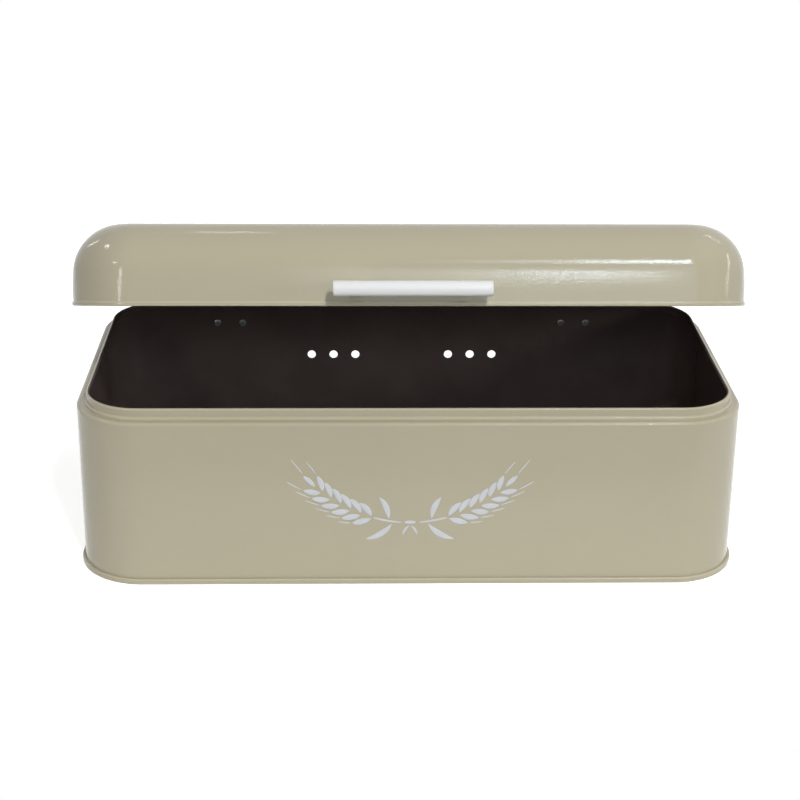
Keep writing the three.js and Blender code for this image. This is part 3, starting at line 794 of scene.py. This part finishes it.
def make_hinges(s, h, finish):
    """Leaves, pins and rivets of both hinges."""
    half = h.width / 2 + s.gap
    end, dome = half + h.pin_head_length, h.pin_head_length * 0.8
    pin = rounded([
        (0, -end), (h.pin_head, -end, dome), (h.pin_head, -half, EDGE_ROUND), (h.pin_radius, -half, 0),
        (h.pin_radius, half, 0), (h.pin_head, half, EDGE_ROUND), (h.pin_head, end, dome), (0, end),
    ])
    for hand, sign in HANDS:
        middle_x = sign * h.spacing / 2
        for side in SIDES:
            make_leaf(s, h, finish, hand, middle_x, side)
        add_piece(
            f"hinge_headed_pin_{hand}", turned(pin, "x", (middle_x, PIVOT_Y, PIVOT_Z), facets=40), finish["zinc"],
            "bin", "zinc_steel", f"hinge_{hand}_pin"
        )

    tail, head = -s.sheet - s.gap, 2 * s.gap + h.thickness
    rivet = rounded([
        (0, tail - h.rivet_tail_height), (h.rivet_tail, tail - h.rivet_tail_height, h.rivet_tail_height * 0.7),
        (h.rivet_tail, tail, EDGE_ROUND), (h.rivet_shank, tail, 0), (h.rivet_shank, head, 0),
        (h.rivet_head, head, EDGE_ROUND), (h.rivet_head, head + h.rivet_head_height * 0.35, h.rivet_head_height * 0.5),
        (h.rivet_head * 0.55, head + h.rivet_head_height, h.rivet_head * 0.6), (0, head + h.rivet_head_height),
    ])
    for side, (body, word) in SIDES.items():
        places = [(hand * h.spacing + end * h.rivet_spacing) / 2 for _, hand in HANDS for end in (-1, 1)]
        for i, x in enumerate(places, 1):
            place = (x, s.depth / 2, PIVOT_Z + side * h.rivet_place)
            add_piece(
                f"{word}_domed_rivet_{i}", turned(rivet, "y", place, facets=40), finish["zinc"], body, "zinc_steel",
                f"{word}_rivet_{i}"
            )


def leaf_shapes(start, angle, size, width, bend, blunt=0.75, rows=13, columns=5):
    """Flat pointed shapes, many at once, as (count, rows, columns, 2).

    Along each the middle line runs from its start at its angle and turns by bend, and the half width is
    width / 2 * sin(pi s)^blunt for s from 0 to 1.
    """
    start = np.asarray(start, float)
    angle, size, width, bend = (
        np.broadcast_to(np.asarray(value, float), len(start))[:, None] for value in (angle, size, width, bend)
    )
    s = np.linspace(0, 1, rows)
    heading = angle + bend * (s - 0.5)
    step = size / (rows - 1)
    line_x = start[:, :1] + np.cumsum(np.cos(heading) * step, axis=1) - np.cos(heading[:, :1]) * step
    line_y = start[:, 1:] + np.cumsum(np.sin(heading) * step, axis=1) - np.sin(heading[:, :1]) * step
    half = width / 2 * np.sin(math.pi * np.clip(s, TIP_SHARE, 1 - TIP_SHARE)) ** blunt
    v = np.linspace(-1, 1, columns)
    x = line_x[:, :, None] - np.sin(heading)[:, :, None] * half[:, :, None] * v
    y = line_y[:, :, None] + np.cos(heading)[:, :, None] * half[:, :, None] * v
    return np.stack([x, y], axis=3)


def ear(p):
    """One stem to the right with its ear, as points (x, z) from the tie, and faces.

    The stem is an arc whose heading grows evenly along it. Grains stand in two rows that lean out from it and curve
    back and one is at the tip. The outer ones and those at the tip carry a bristle, and two leaves grow at the foot.
    No shape touches another.
    """
    bend = (p.end_angle - p.start_angle) / p.reach

    def heading(s):
        return p.start_angle + bend * s

    def at(s, aside=0.0):
        h = heading(np.atleast_1d(s))
        x = p.foot + (np.sin(h) - math.sin(p.start_angle)) / bend - aside * np.sin(h)
        return np.stack([x, (math.cos(p.start_angle) - np.cos(h)) / bend + aside * np.cos(h)], axis=1)

    # The grains, in pairs below and above the stem. They get smaller to the tip, and the lower ones are a bit wider.
    s = np.repeat(p.ear_start + p.kernel_pitch * np.arange(p.kernels), 2)
    sign = np.tile([-1.0, 1.0], p.kernels)
    size = 1.04 - 0.2 * (s - p.ear_start) / p.reach
    angle = heading(s) + sign * p.kernel_lean
    grains = leaf_shapes(
        at(s, sign * PRINT_GAP), angle, p.kernel_length * size, p.kernel_width * size * (1 - 0.04 * sign), -0.5 * sign
    )
    tip = s[-1] + 0.72 * p.kernel_pitch
    last = leaf_shapes(at(tip), heading(tip), 0.9 * p.kernel_length, 0.8 * p.kernel_width, bend=0)
    # The bristles of the lower grains and of the last pair. They follow each grain's end and grow longer to the tip.
    free = (sign < 0) | (s == s[-1])
    lean = (angle - 0.25 * sign)[free]
    tips = grains[free, -1, 2] + np.stack([np.cos(lean), np.sin(lean)], axis=1) * PRINT_GAP
    awn_length = p.awn_length * (0.8 + 0.5 * (s[free] - p.ear_start) / p.reach)
    awns = leaf_shapes(tips, lean - 0.12 * sign[free], awn_length, p.awn_width, -0.15 * sign[free], blunt=0.5)
    far = tip + 0.9 * p.kernel_length + PRINT_GAP
    top = leaf_shapes(at(far), heading(far), 1.2 * p.awn_length, p.awn_width, bend=0, blunt=0.5)
    stem_length = p.ear_start - 1.5 * PRINT_GAP
    stem = leaf_shapes(at(0), heading(stem_length / 2), stem_length, p.stem_width, bend * stem_length, blunt=0.15)
    leaves = [
        leaf_shapes(at(along, aside), heading(along) + turn, size, width, curve, blunt=0.9)
        for along, aside, turn, size, width, curve in FOOT_LEAVES
    ]
    return gathered([grains, last, awns, top, stem, *leaves])


def gathered(shapes):
    """Shapes as one list of points and one of faces that look to the front."""
    faces, first = [], 0
    for shape in shapes:
        count, rows, columns = shape.shape[:3]
        faces.append(patch_faces(rows, columns, count)[:, ::-1] + first)
        first += count * rows * columns
    return np.concatenate([shape.reshape(-1, 2) for shape in shapes]), np.concatenate(faces)


def make_print(s, p, finish):
    """Two wheat ears printed on the front, joined by a tie with two loose ends."""
    flat, faces = ear(p)
    tie, tie_faces = gathered([
        leaf_shapes([[-0.0037, 0]], angle=0, size=0.0074, width=0.0026, bend=0, blunt=0.5),
        leaf_shapes(
            [[-0.0007, -0.0022], [0.0007, -0.0022]], angle=[-2.15, -0.99], size=0.0075, width=0.0015, bend=[0.5, -0.5],
            blunt=0.6
        ),
    ])
    count = len(flat)
    flat = np.concatenate([flat, flat * [-1, 1], tie])
    faces = np.concatenate([faces, faces[:, ::-1] + count, tie_faces + 2 * count])
    points = np.stack([flat[:, 0], np.full(len(flat), -s.depth / 2 - p.ink / 4), p.height + flat[:, 1]], axis=1)
    work = make_piece("front_wheat_print", (points, faces, {}))
    thick = work.modifiers.new("ink", "SOLIDIFY")
    thick.thickness = p.ink
    thick.offset = 1.0
    dress(work, finish["ink"], "bin", "handle_coat")


# Finishes


def add(tree, kind, inputs=None, **settings):
    """A node with settings, and values or links for its inputs."""
    node = tree.nodes.new(kind)
    for key, value in settings.items():
        setattr(node, key, value)
    for key, value in (inputs or {}).items():
        give(tree, value, node.inputs[key])
    return node


def give(tree, value, socket):
    """A value or a link for a socket."""
    if isinstance(value, bpy.types.NodeSocket):
        tree.links.new(value, socket)
    else:
        socket.default_value = value


def new_group(name, inputs, outputs):
    """A node group, as (tree, the sockets of its input node, those of its output node).

    All groups take a Vector. The other inputs are given by their defaults: a number, or a colour with alpha.
    """
    tree = bpy.data.node_groups.new(name, "ShaderNodeTree")
    tree.interface.new_socket("Vector", in_out="INPUT", socket_type="NodeSocketVector")
    for label, default in inputs.items():
        kind = "NodeSocketColor" if isinstance(default, tuple) else "NodeSocketFloat"
        tree.interface.new_socket(label, in_out="INPUT", socket_type=kind).default_value = default
    for label in outputs:
        kind = "NodeSocketColor" if label == "Color" else "NodeSocketFloat"
        tree.interface.new_socket(label, in_out="OUTPUT", socket_type=kind)
    return tree, tree.nodes.new("NodeGroupInput").outputs, tree.nodes.new("NodeGroupOutput").inputs


def math_node(tree, operation, first, second=0.0, third=None, clamp=False):
    """One sum, as its output."""
    inputs = {0: first, 1: second}
    if third is not None:
        inputs[2] = third
    return add(tree, "ShaderNodeMath", inputs, operation=operation, use_clamp=clamp).outputs[0]


def noise(tree, vector, scale, detail, **inputs):
    """Noise from 0 to 1, as an output."""
    inputs = {"Vector": vector, "Scale": scale, "Detail": detail, **inputs}
    return add(tree, "ShaderNodeTexNoise", inputs).outputs["Fac"]


def orange_peel_group():
    """Height of a sprayed or powdered coat: broad waves with a finer ripple."""
    tree, source, sink = new_group("orange_peel", {"Scale": 400.0, "Ripple": 0.3}, ["Height"])
    waves = noise(tree, source["Vector"], source["Scale"], 1.0, Roughness=0.45)
    fine = noise(tree, source["Vector"], math_node(tree, "MULTIPLY", source["Scale"], 3.3), 1.0)
    tree.links.new(math_node(tree, "MULTIPLY_ADD", fine, source["Ripple"], waves), sink["Height"])
    return tree


def tone_group():
    """A colour that drifts a little in brightness from place to place."""
    inputs = {"Color": (0.5, 0.5, 0.5, 1), "Scale": 14.0, "Amount": 0.03}
    tree, source, sink = new_group("tone_drift", inputs, ["Color"])
    drift = math_node(tree, "SUBTRACT", noise(tree, source["Vector"], source["Scale"], 3.0), 0.5)
    swing = math_node(tree, "MULTIPLY_ADD", drift, math_node(tree, "MULTIPLY", source["Amount"], 2.0), 1.0)
    toned = add(tree, "ShaderNodeVectorMath", {0: source["Color"]}, operation="SCALE")
    tree.links.new(swing, toned.inputs["Scale"])
    tree.links.new(toned.outputs[0], sink["Color"])
    return tree


def handling_group():
    """Roughness with faint wipe marks and finger marks."""
    tree, source, sink = new_group("handling_marks", {"Roughness": 0.3, "Amount": 0.05}, ["Roughness"])
    stretched = add(tree, "ShaderNodeMapping", {"Vector": source["Vector"], "Scale": (1.0, 1.0, 2.6)}).outputs[0]
    wipes = math_node(tree, "SUBTRACT", noise(tree, stretched, 22.0, 5.0, Roughness=0.6, Distortion=0.6), 0.5)
    fingers = math_node(tree, "SUBTRACT", noise(tree, source["Vector"], 75.0, 2.0), 0.5)
    both = math_node(tree, "ADD", wipes, math_node(tree, "MULTIPLY", fingers, 0.5))
    value = math_node(tree, "MULTIPLY_ADD", both, source["Amount"], source["Roughness"], clamp=True)
    tree.links.new(value, sink["Roughness"])
    return tree


def edge_group():
    """Mask of the tight bends: a painted highlight that lightens the coat there, and spots where the coat is rubbed.
    """
    tree, source, sink = new_group("edge_rub", {"Edge": 0.0, "Spots": 0.5}, ["Thin", "Rubbed"])
    high = add(tree, "ShaderNodeMapRange", {
        "Value": noise(tree, source["Vector"], 260.0, 4.0, Roughness=0.65), "From Min": source["Spots"],
        "From Max": math_node(tree, "ADD", source["Spots"], 0.08),
    }).outputs["Result"]
    # The squared bend mask is the painted highlight on the outside of tight bends. The same mask also bounds the
    # rubbed spots.
    highlit_bends = math_node(tree, "MULTIPLY", source["Edge"], source["Edge"])
    tree.links.new(highlit_bends, sink["Thin"])
    tree.links.new(math_node(tree, "MULTIPLY", highlit_bends, high), sink["Rubbed"])
    return tree


def mixed(tree, factor, first, second):
    """Two colours mixed, as an output."""
    node = add(tree, "ShaderNodeMix", data_type="RGBA")
    for key, value in (("Factor", factor), ("A", first), ("B", second)):
        give(tree, value, next(socket for socket in node.inputs if socket.enabled and socket.name == key))
    return next(socket for socket in node.outputs if socket.enabled)


def new_material(name):
    """A material as (material, tree, the inputs of its Principled node)."""
    material = bpy.data.materials.new(name)
    material.use_nodes = True
    tree = material.node_tree
    return material, tree, next(node for node in tree.nodes if node.type == "BSDF_PRINCIPLED").inputs


def rgba(value):
    """A colour property with full alpha."""
    return (*value, 1.0)


class Surface:
    """A new material for a finish and the layers that it is built up from."""

    def __init__(self, key, groups):
        _, self.tree, self.inputs = new_material(FINISH_NAMES[key])
        self.groups = groups
        self.place = add(self.tree, "ShaderNodeTexCoord").outputs["Object"]

    def group(self, key, **inputs):
        """The outputs of a shared group."""
        return add(self.tree, "ShaderNodeGroup", {"Vector": self.place, **inputs}, node_tree=self.groups[key]).outputs

    def toned(self, value, scale, amount):
        """A colour with drift, as an output."""
        return self.group("tone", Color=rgba(value), Scale=scale, Amount=amount)[0]

    def paint(self, value):
        """Sets the colour."""
        self.tree.links.new(value, self.inputs["Base Color"])

    def mark(self, roughness, amount):
        """Sets the roughness, with handling marks."""
        self.tree.links.new(self.group("marks", Roughness=roughness, Amount=amount)[0], self.inputs["Roughness"])

    def peel(self, scale, ripple, depth):
        """Gives the surface orange peel."""
        self.bump(self.group("peel", Scale=scale, Ripple=ripple)[0], depth)

    def bump(self, height, depth):
        """Bumps the surface by a height of 0 to 1 times a depth."""
        bump = add(self.tree, "ShaderNodeBump", {"Height": height, "Distance": depth, "Strength": 1.0})
        self.tree.links.new(bump.outputs["Normal"], self.inputs["Normal"])


def make_coat(f, groups):
    """Glossy khaki powder coat outside that gives way to dark lacquer inside, with a painted highlight on its tight
    bends.
    """
    new = Surface("coat", groups)
    tree = new.tree
    new.inputs["IOR"].default_value = 1.42
    lacquer = add(tree, "ShaderNodeAttribute", attribute_name="lacquer").outputs["Fac"]
    edge = add(tree, "ShaderNodeAttribute", attribute_name="edge").outputs["Fac"]
    rub = new.group("edge", Edge=edge, Spots=0.62)
    # Painted highlight: on the outside of tight bends the coat is mixed up to halfway toward 1.35 times its colour,
    # where the lamps' glints fall.
    highlight_coat = rgba([value * 1.35 for value in f.coat])
    highlit_bends = mixed(tree, math_node(tree, "MULTIPLY", rub["Thin"], 0.5), new.toned(f.coat, 11.0, 0.03), highlight_coat)
    worn = mixed(tree, math_node(tree, "MULTIPLY", rub["Rubbed"], 0.35), highlit_bends, RUBBED_COAT)
    new.paint(mixed(tree, lacquer, worn, new.toned(f.lacquer, 30.0, 0.25)))
    more = f.lacquer_roughness - f.coat_roughness
    new.mark(math_node(tree, "MULTIPLY_ADD", lacquer, more, f.coat_roughness), 0.07)
    new.peel(f.peel_scale, 0.25, f.peel_depth)


def make_handle_coat(f, groups):
    """Smooth white coat of the handle."""
    new = Surface("handle", groups)
    new.paint(new.toned(f.handle, 60.0, 0.015))
    new.mark(f.handle_roughness, 0.08)
    new.peel(f.peel_scale * 1.6, 0.4, f.peel_depth * 0.4)


def make_ink(f, groups):
    """Screen-printed white ink that lets a little of the coat through."""
    new = Surface("ink", groups)
    tree = new.tree
    grain = noise(tree, new.place, 2400.0, 2.0)
    pinholes = add(tree, "ShaderNodeMapRange", {"Value": grain, "From Min": 0.72, "From Max": 0.8}).outputs["Result"]
    new.paint(mixed(tree, math_node(tree, "MULTIPLY", pinholes, 0.5), new.toned(f.ink, 160.0, 0.05), rgba(f.coat)))
    new.mark(0.42, 0.08)
    new.peel(f.peel_scale, 0.5, f.peel_depth)


def make_zinc(f, groups):
    """Satin zinc plating with a fine grain and clouds in its shine."""
    new = Surface("zinc", groups)
    new.inputs["Metallic"].default_value = 1.0
    new.paint(new.toned(f.zinc, 350.0, 0.16))
    new.mark(0.34, 0.2)
    drawn = add(new.tree, "ShaderNodeMapping", {"Vector": new.place, "Scale": (1.0, 14.0, 14.0)}).outputs[0]
    new.bump(noise(new.tree, drawn, 520.0, 3.0), 0.00001)


def make_finishes(f):
    """All finishes by a short name. They are made once."""
    if FINISH_NAMES["coat"] not in bpy.data.materials:
        groups = {"peel": orange_peel_group(), "tone": tone_group(), "marks": handling_group(), "edge": edge_group()}
        for make in (make_coat, make_handle_coat, make_ink, make_zinc):
            make(f, groups)
    return {key: bpy.data.materials[name] for key, name in FINISH_NAMES.items()}


# Stage


def seen(tree):
    """1 for rays from the camera and from glossy or clear surfaces."""
    path = add(tree, "ShaderNodeLightPath").outputs
    either = math_node(tree, "MAXIMUM", path["Is Camera Ray"], path["Is Glossy Ray"])
    return math_node(tree, "MAXIMUM", either, path["Is Transmission Ray"])


def make_floor(settings):
    """A pale table top that shines a little for the camera and keeps the shadow."""
    wide, front, back, down = 0.85, -settings.table_front, 0.75, -0.0001
    points = np.array([(-wide, front, down), (wide, front, down), (wide, back, down), (-wide, back, down)])
    floor = make_piece("table_top", (points, [[0, 1, 2, 3]], {}))
    material, tree, inputs = new_material("pale_table")
    inputs["Base Color"].default_value = (0.8, 0.8, 0.795, 1)
    inputs["Roughness"].default_value = 0.8
    inputs["Specular IOR Level"].default_value = 0.1
    inputs["Emission Color"].default_value = (1, 1, 1, 1)
    tree.links.new(math_node(tree, "MULTIPLY", seen(tree), settings.floor_glow), inputs["Emission Strength"])
    floor.data.materials.append(material)


def make_world(settings):
    """White all round for the camera, and softer as light, with less of it from under the horizon."""
    world = bpy.data.worlds.new("plain_white")
    bpy.context.scene.world = world
    world.use_nodes = True
    tree = world.node_tree
    background = next(node for node in tree.nodes if node.type == "BACKGROUND")
    background.inputs["Color"].default_value = (1, 1, 1, 1)
    heading = add(tree, "ShaderNodeSeparateXYZ", {0: add(tree, "ShaderNodeTexCoord").outputs["Generated"]})
    light = add(tree, "ShaderNodeMapRange", {
        "Value": heading.outputs["Z"], "From Min": -0.05, "From Max": 0.15, "To Min": settings.below,
        "To Max": settings.ambient,
    })
    right = math_node(tree, "MULTIPLY_ADD", heading.outputs["X"], settings.lean, 1.0)
    strength = math_node(tree, "MAXIMUM", seen(tree), math_node(tree, "MULTIPLY", right, light.outputs["Result"]))
    tree.links.new(strength, background.inputs["Strength"])


def area_light(name, place, aim, size, power, lean=0):
    """A rectangular lamp at a place, turned to what it aims at and then leaned in its own plane, in degrees."""
    lamp = bpy.data.lights.new(name, "AREA")
    lamp.shape = "RECTANGLE"
    lamp.size, lamp.size_y = size
    lamp.energy = power
    light = bpy.data.objects.new(name, lamp)
    light.location = place
    facing = (Vector(aim) - Vector(place)).to_track_quat("-Z", "Y").to_matrix()
    light.rotation_euler = (facing @ Matrix.Rotation(math.radians(lean), 3, "Z")).to_euler()
    bpy.context.scene.collection.objects.link(light)
    return light


def make_camera(settings):
    """The camera: its axes follow from yaw, pitch and roll."""
    yaw, pitch, roll = settings.yaw, settings.pitch, settings.roll
    ahead = Vector((math.sin(yaw) * math.cos(pitch), math.cos(yaw) * math.cos(pitch), -math.sin(pitch)))
    level = Vector((math.cos(yaw), -math.sin(yaw), 0))
    above = level.cross(ahead)
    right = level * math.cos(roll) + above * math.sin(roll)
    up = above * math.cos(roll) - level * math.sin(roll)
    lens = bpy.data.cameras.new("camera")
    lens.lens, lens.sensor_width = settings.focal, 36
    camera = bpy.data.objects.new("camera", lens)
    turn = Matrix((right, up, -ahead)).transposed().to_4x4()
    camera.matrix_world = Matrix.Translation(settings.camera) @ turn
    bpy.context.scene.collection.objects.link(camera)
    bpy.context.scene.camera = camera


# Operators


def given(context, *keys):
    """The groups of sizes with these short names, and then the finishes."""
    scene = context.scene
    return [getattr(scene, f"bread_box_{key}") for key in keys] + [make_finishes(scene.bread_box_finish)]


class BREADBOX_OT_body(bpy.types.Operator):
    """Make the body wall with its neck, rim, air holes and lock seam"""

    bl_idname = "bread_box.body"
    bl_label = "Body wall"

    def execute(self, context):
        make_body(*given(context, "sheet"))
        return {"FINISHED"}


class BREADBOX_OT_bottom(bpy.types.Operator):
    """Make the bottom pan with its folded seam"""

    bl_idname = "bread_box.bottom"
    bl_label = "Bottom pan"

    def execute(self, context):
        make_bottom(*given(context, "sheet"))
        return {"FINISHED"}


class BREADBOX_OT_lid(bpy.types.Operator):
    """Make the lid with its rounded upper edge and hem"""

    bl_idname = "bread_box.lid"
    bl_label = "Lid"

    def execute(self, context):
        make_lid(*given(context, "sheet"))
        return {"FINISHED"}


class BREADBOX_OT_handle(bpy.types.Operator):
    """Make the bar handle with its posts, screws and washers"""

    bl_idname = "bread_box.handle"
    bl_label = "Handle"

    def execute(self, context):
        make_handle(*given(context, "sheet", "handle"))
        return {"FINISHED"}


class BREADBOX_OT_hinges(bpy.types.Operator):
    """Make both hinges with their leaves, pins and rivets"""

    bl_idname = "bread_box.hinges"
    bl_label = "Hinges"

    def execute(self, context):
        make_hinges(*given(context, "sheet", "hinge"))
        return {"FINISHED"}


class BREADBOX_OT_print(bpy.types.Operator):
    """Print the wheat ears on the front"""

    bl_idname = "bread_box.print"
    bl_label = "Front print"

    def execute(self, context):
        make_print(*given(context, "sheet", "print"))
        return {"FINISHED"}


class BREADBOX_OT_stage(bpy.types.Operator):
    """Set up the table, the light and the camera"""

    bl_idname = "bread_box.stage"
    bl_label = "Stage"

    def execute(self, context):
        settings = context.scene.bread_box_stage
        context.scene.view_settings.view_transform = "Standard"
        make_floor(settings)
        make_world(settings)
        aim = (0, -0.1, 0.17)
        rim, line, soft = settings.rim, settings.line, settings.soft
        # The first five light the coat. The others draw its highlights: the line along the lid's bend, the soft band
        # under it with its brighter spots, and those in the corners.
        for name, place, size, power, lean in (
            ("key_light", (0.2175, -1.22, 1.063), (0.10, 0.07), settings.key, 0),
            ("right_fill", (1.1, -0.75, 0.45), (0.3, 0.2), settings.fill, 0),
            ("left_fill", (-0.75, -0.75, 0.06), (0.3, 0.1), 0.5 * settings.fill, 0),
            ("back_fill", (-0.25, 1.35, 0.3), (0.6, 0.3), settings.back, 0),
            ("top_light", (1.2, -0.1, 2.2), (1.8, 1.5), settings.top, 0),
            ("line_light", (0.66, -1.82, 2.07), (0.38, 0.26), 7.0 * line, 0),
            ("line_light_fading", (0.45, -1.82, 2.09), (0.5, 0.26), 1.5 * line, 0),
            ("soft_light_wide", (0.42, -1.9, 0.9), (1.1, 1.0), 4.2 * soft, 0),
            ("soft_light", (0.29, -1.9, 1.05), (0.62, 0.30), 1.0 * soft, 0),
            ("soft_light_middle", (0.33, -1.9, 1.05), (0.36, 0.24), 0.6 * soft, 0),
            *((f"soft_light_bulb_{i + 1}", (0.28 + 0.08 * (i % 3), -1.9, 1.01 + 0.1 * (i // 3)), (0.03, 0.03),
               0.3 * soft, 0) for i in range(6)),
            ("left_strip", (-1.07, -1.73, 0.88), (0.08, 0.60), 1.9 * rim, 0),
            ("left_spot", (-1.30, -1.20, 1.43), (0.16, 0.1), 1.2 * rim, 0),
            ("left_high_spot", (-1.60, 0.27, 1.87), (0.30, 0.13), 2.2 * rim, 20),
            ("left_back_strip", (-1.53, 1.17, 1.03), (0.035, 0.55), 0.8 * rim, 0),
            ("right_strip", (2.08, 0.1, 0.61), (0.08, 1.2), 2.2 * rim, -53),
            ("right_back_strip", (1.30, 1.04, 1.40), (0.04, 0.6), 0.7 * rim, -50),
            ("back_spot", (-0.29, 1.53, 2.26), (0.06, 0.06), 0.35 * rim, 0),
        ):
            light = area_light(name, place, aim, size, power, lean)
            light.visible_glossy = name not in NO_GLOSS
            light.data.color = settings.gloss_tint if name.startswith(("line", "soft")) else (1, 1, 1)
        make_camera(settings)
        return {"FINISHED"}


OPERATORS = (
    BREADBOX_OT_stage, BREADBOX_OT_body, BREADBOX_OT_bottom, BREADBOX_OT_lid, BREADBOX_OT_handle,
    BREADBOX_OT_hinges, BREADBOX_OT_print,
)


class BREADBOX_PT_panel(bpy.types.Panel):
    """The pieces of the bread box and their sizes"""

    bl_idname = "BREADBOX_PT_panel"
    bl_label = "Bread box"
    bl_space_type = "VIEW_3D"
    bl_region_type = "UI"
    bl_category = "Bread box"

    def draw(self, context):
        layout = self.layout
        for operator in OPERATORS:
            layout.operator(operator.bl_idname)
        for key, group in GROUPS:
            box = layout.box()
            box.label(text=group.__doc__)
            for name in group.__annotations__:
                box.prop(getattr(context.scene, key), name)


def register():
    """Registers the classes and puts the sizes on the scene."""
    for _, group in GROUPS:
        bpy.utils.register_class(group)
    for key, group in GROUPS:
        setattr(bpy.types.Scene, key, PointerProperty(type=group))
    for cls in (*OPERATORS, BREADBOX_PT_panel):
        bpy.utils.register_class(cls)


def unregister():
    """Takes everything off again."""
    for cls in reversed((*OPERATORS, BREADBOX_PT_panel)):
        bpy.utils.unregister_class(cls)
    for key, group in reversed(GROUPS):
        delattr(bpy.types.Scene, key)
        bpy.utils.unregister_class(group)


def main():
    """Makes everything in order."""
    register()
    for operator in OPERATORS:
        group, name = operator.bl_idname.split(".")
        getattr(getattr(bpy.ops, group), name)()


if __name__ == "__main__":
    main()
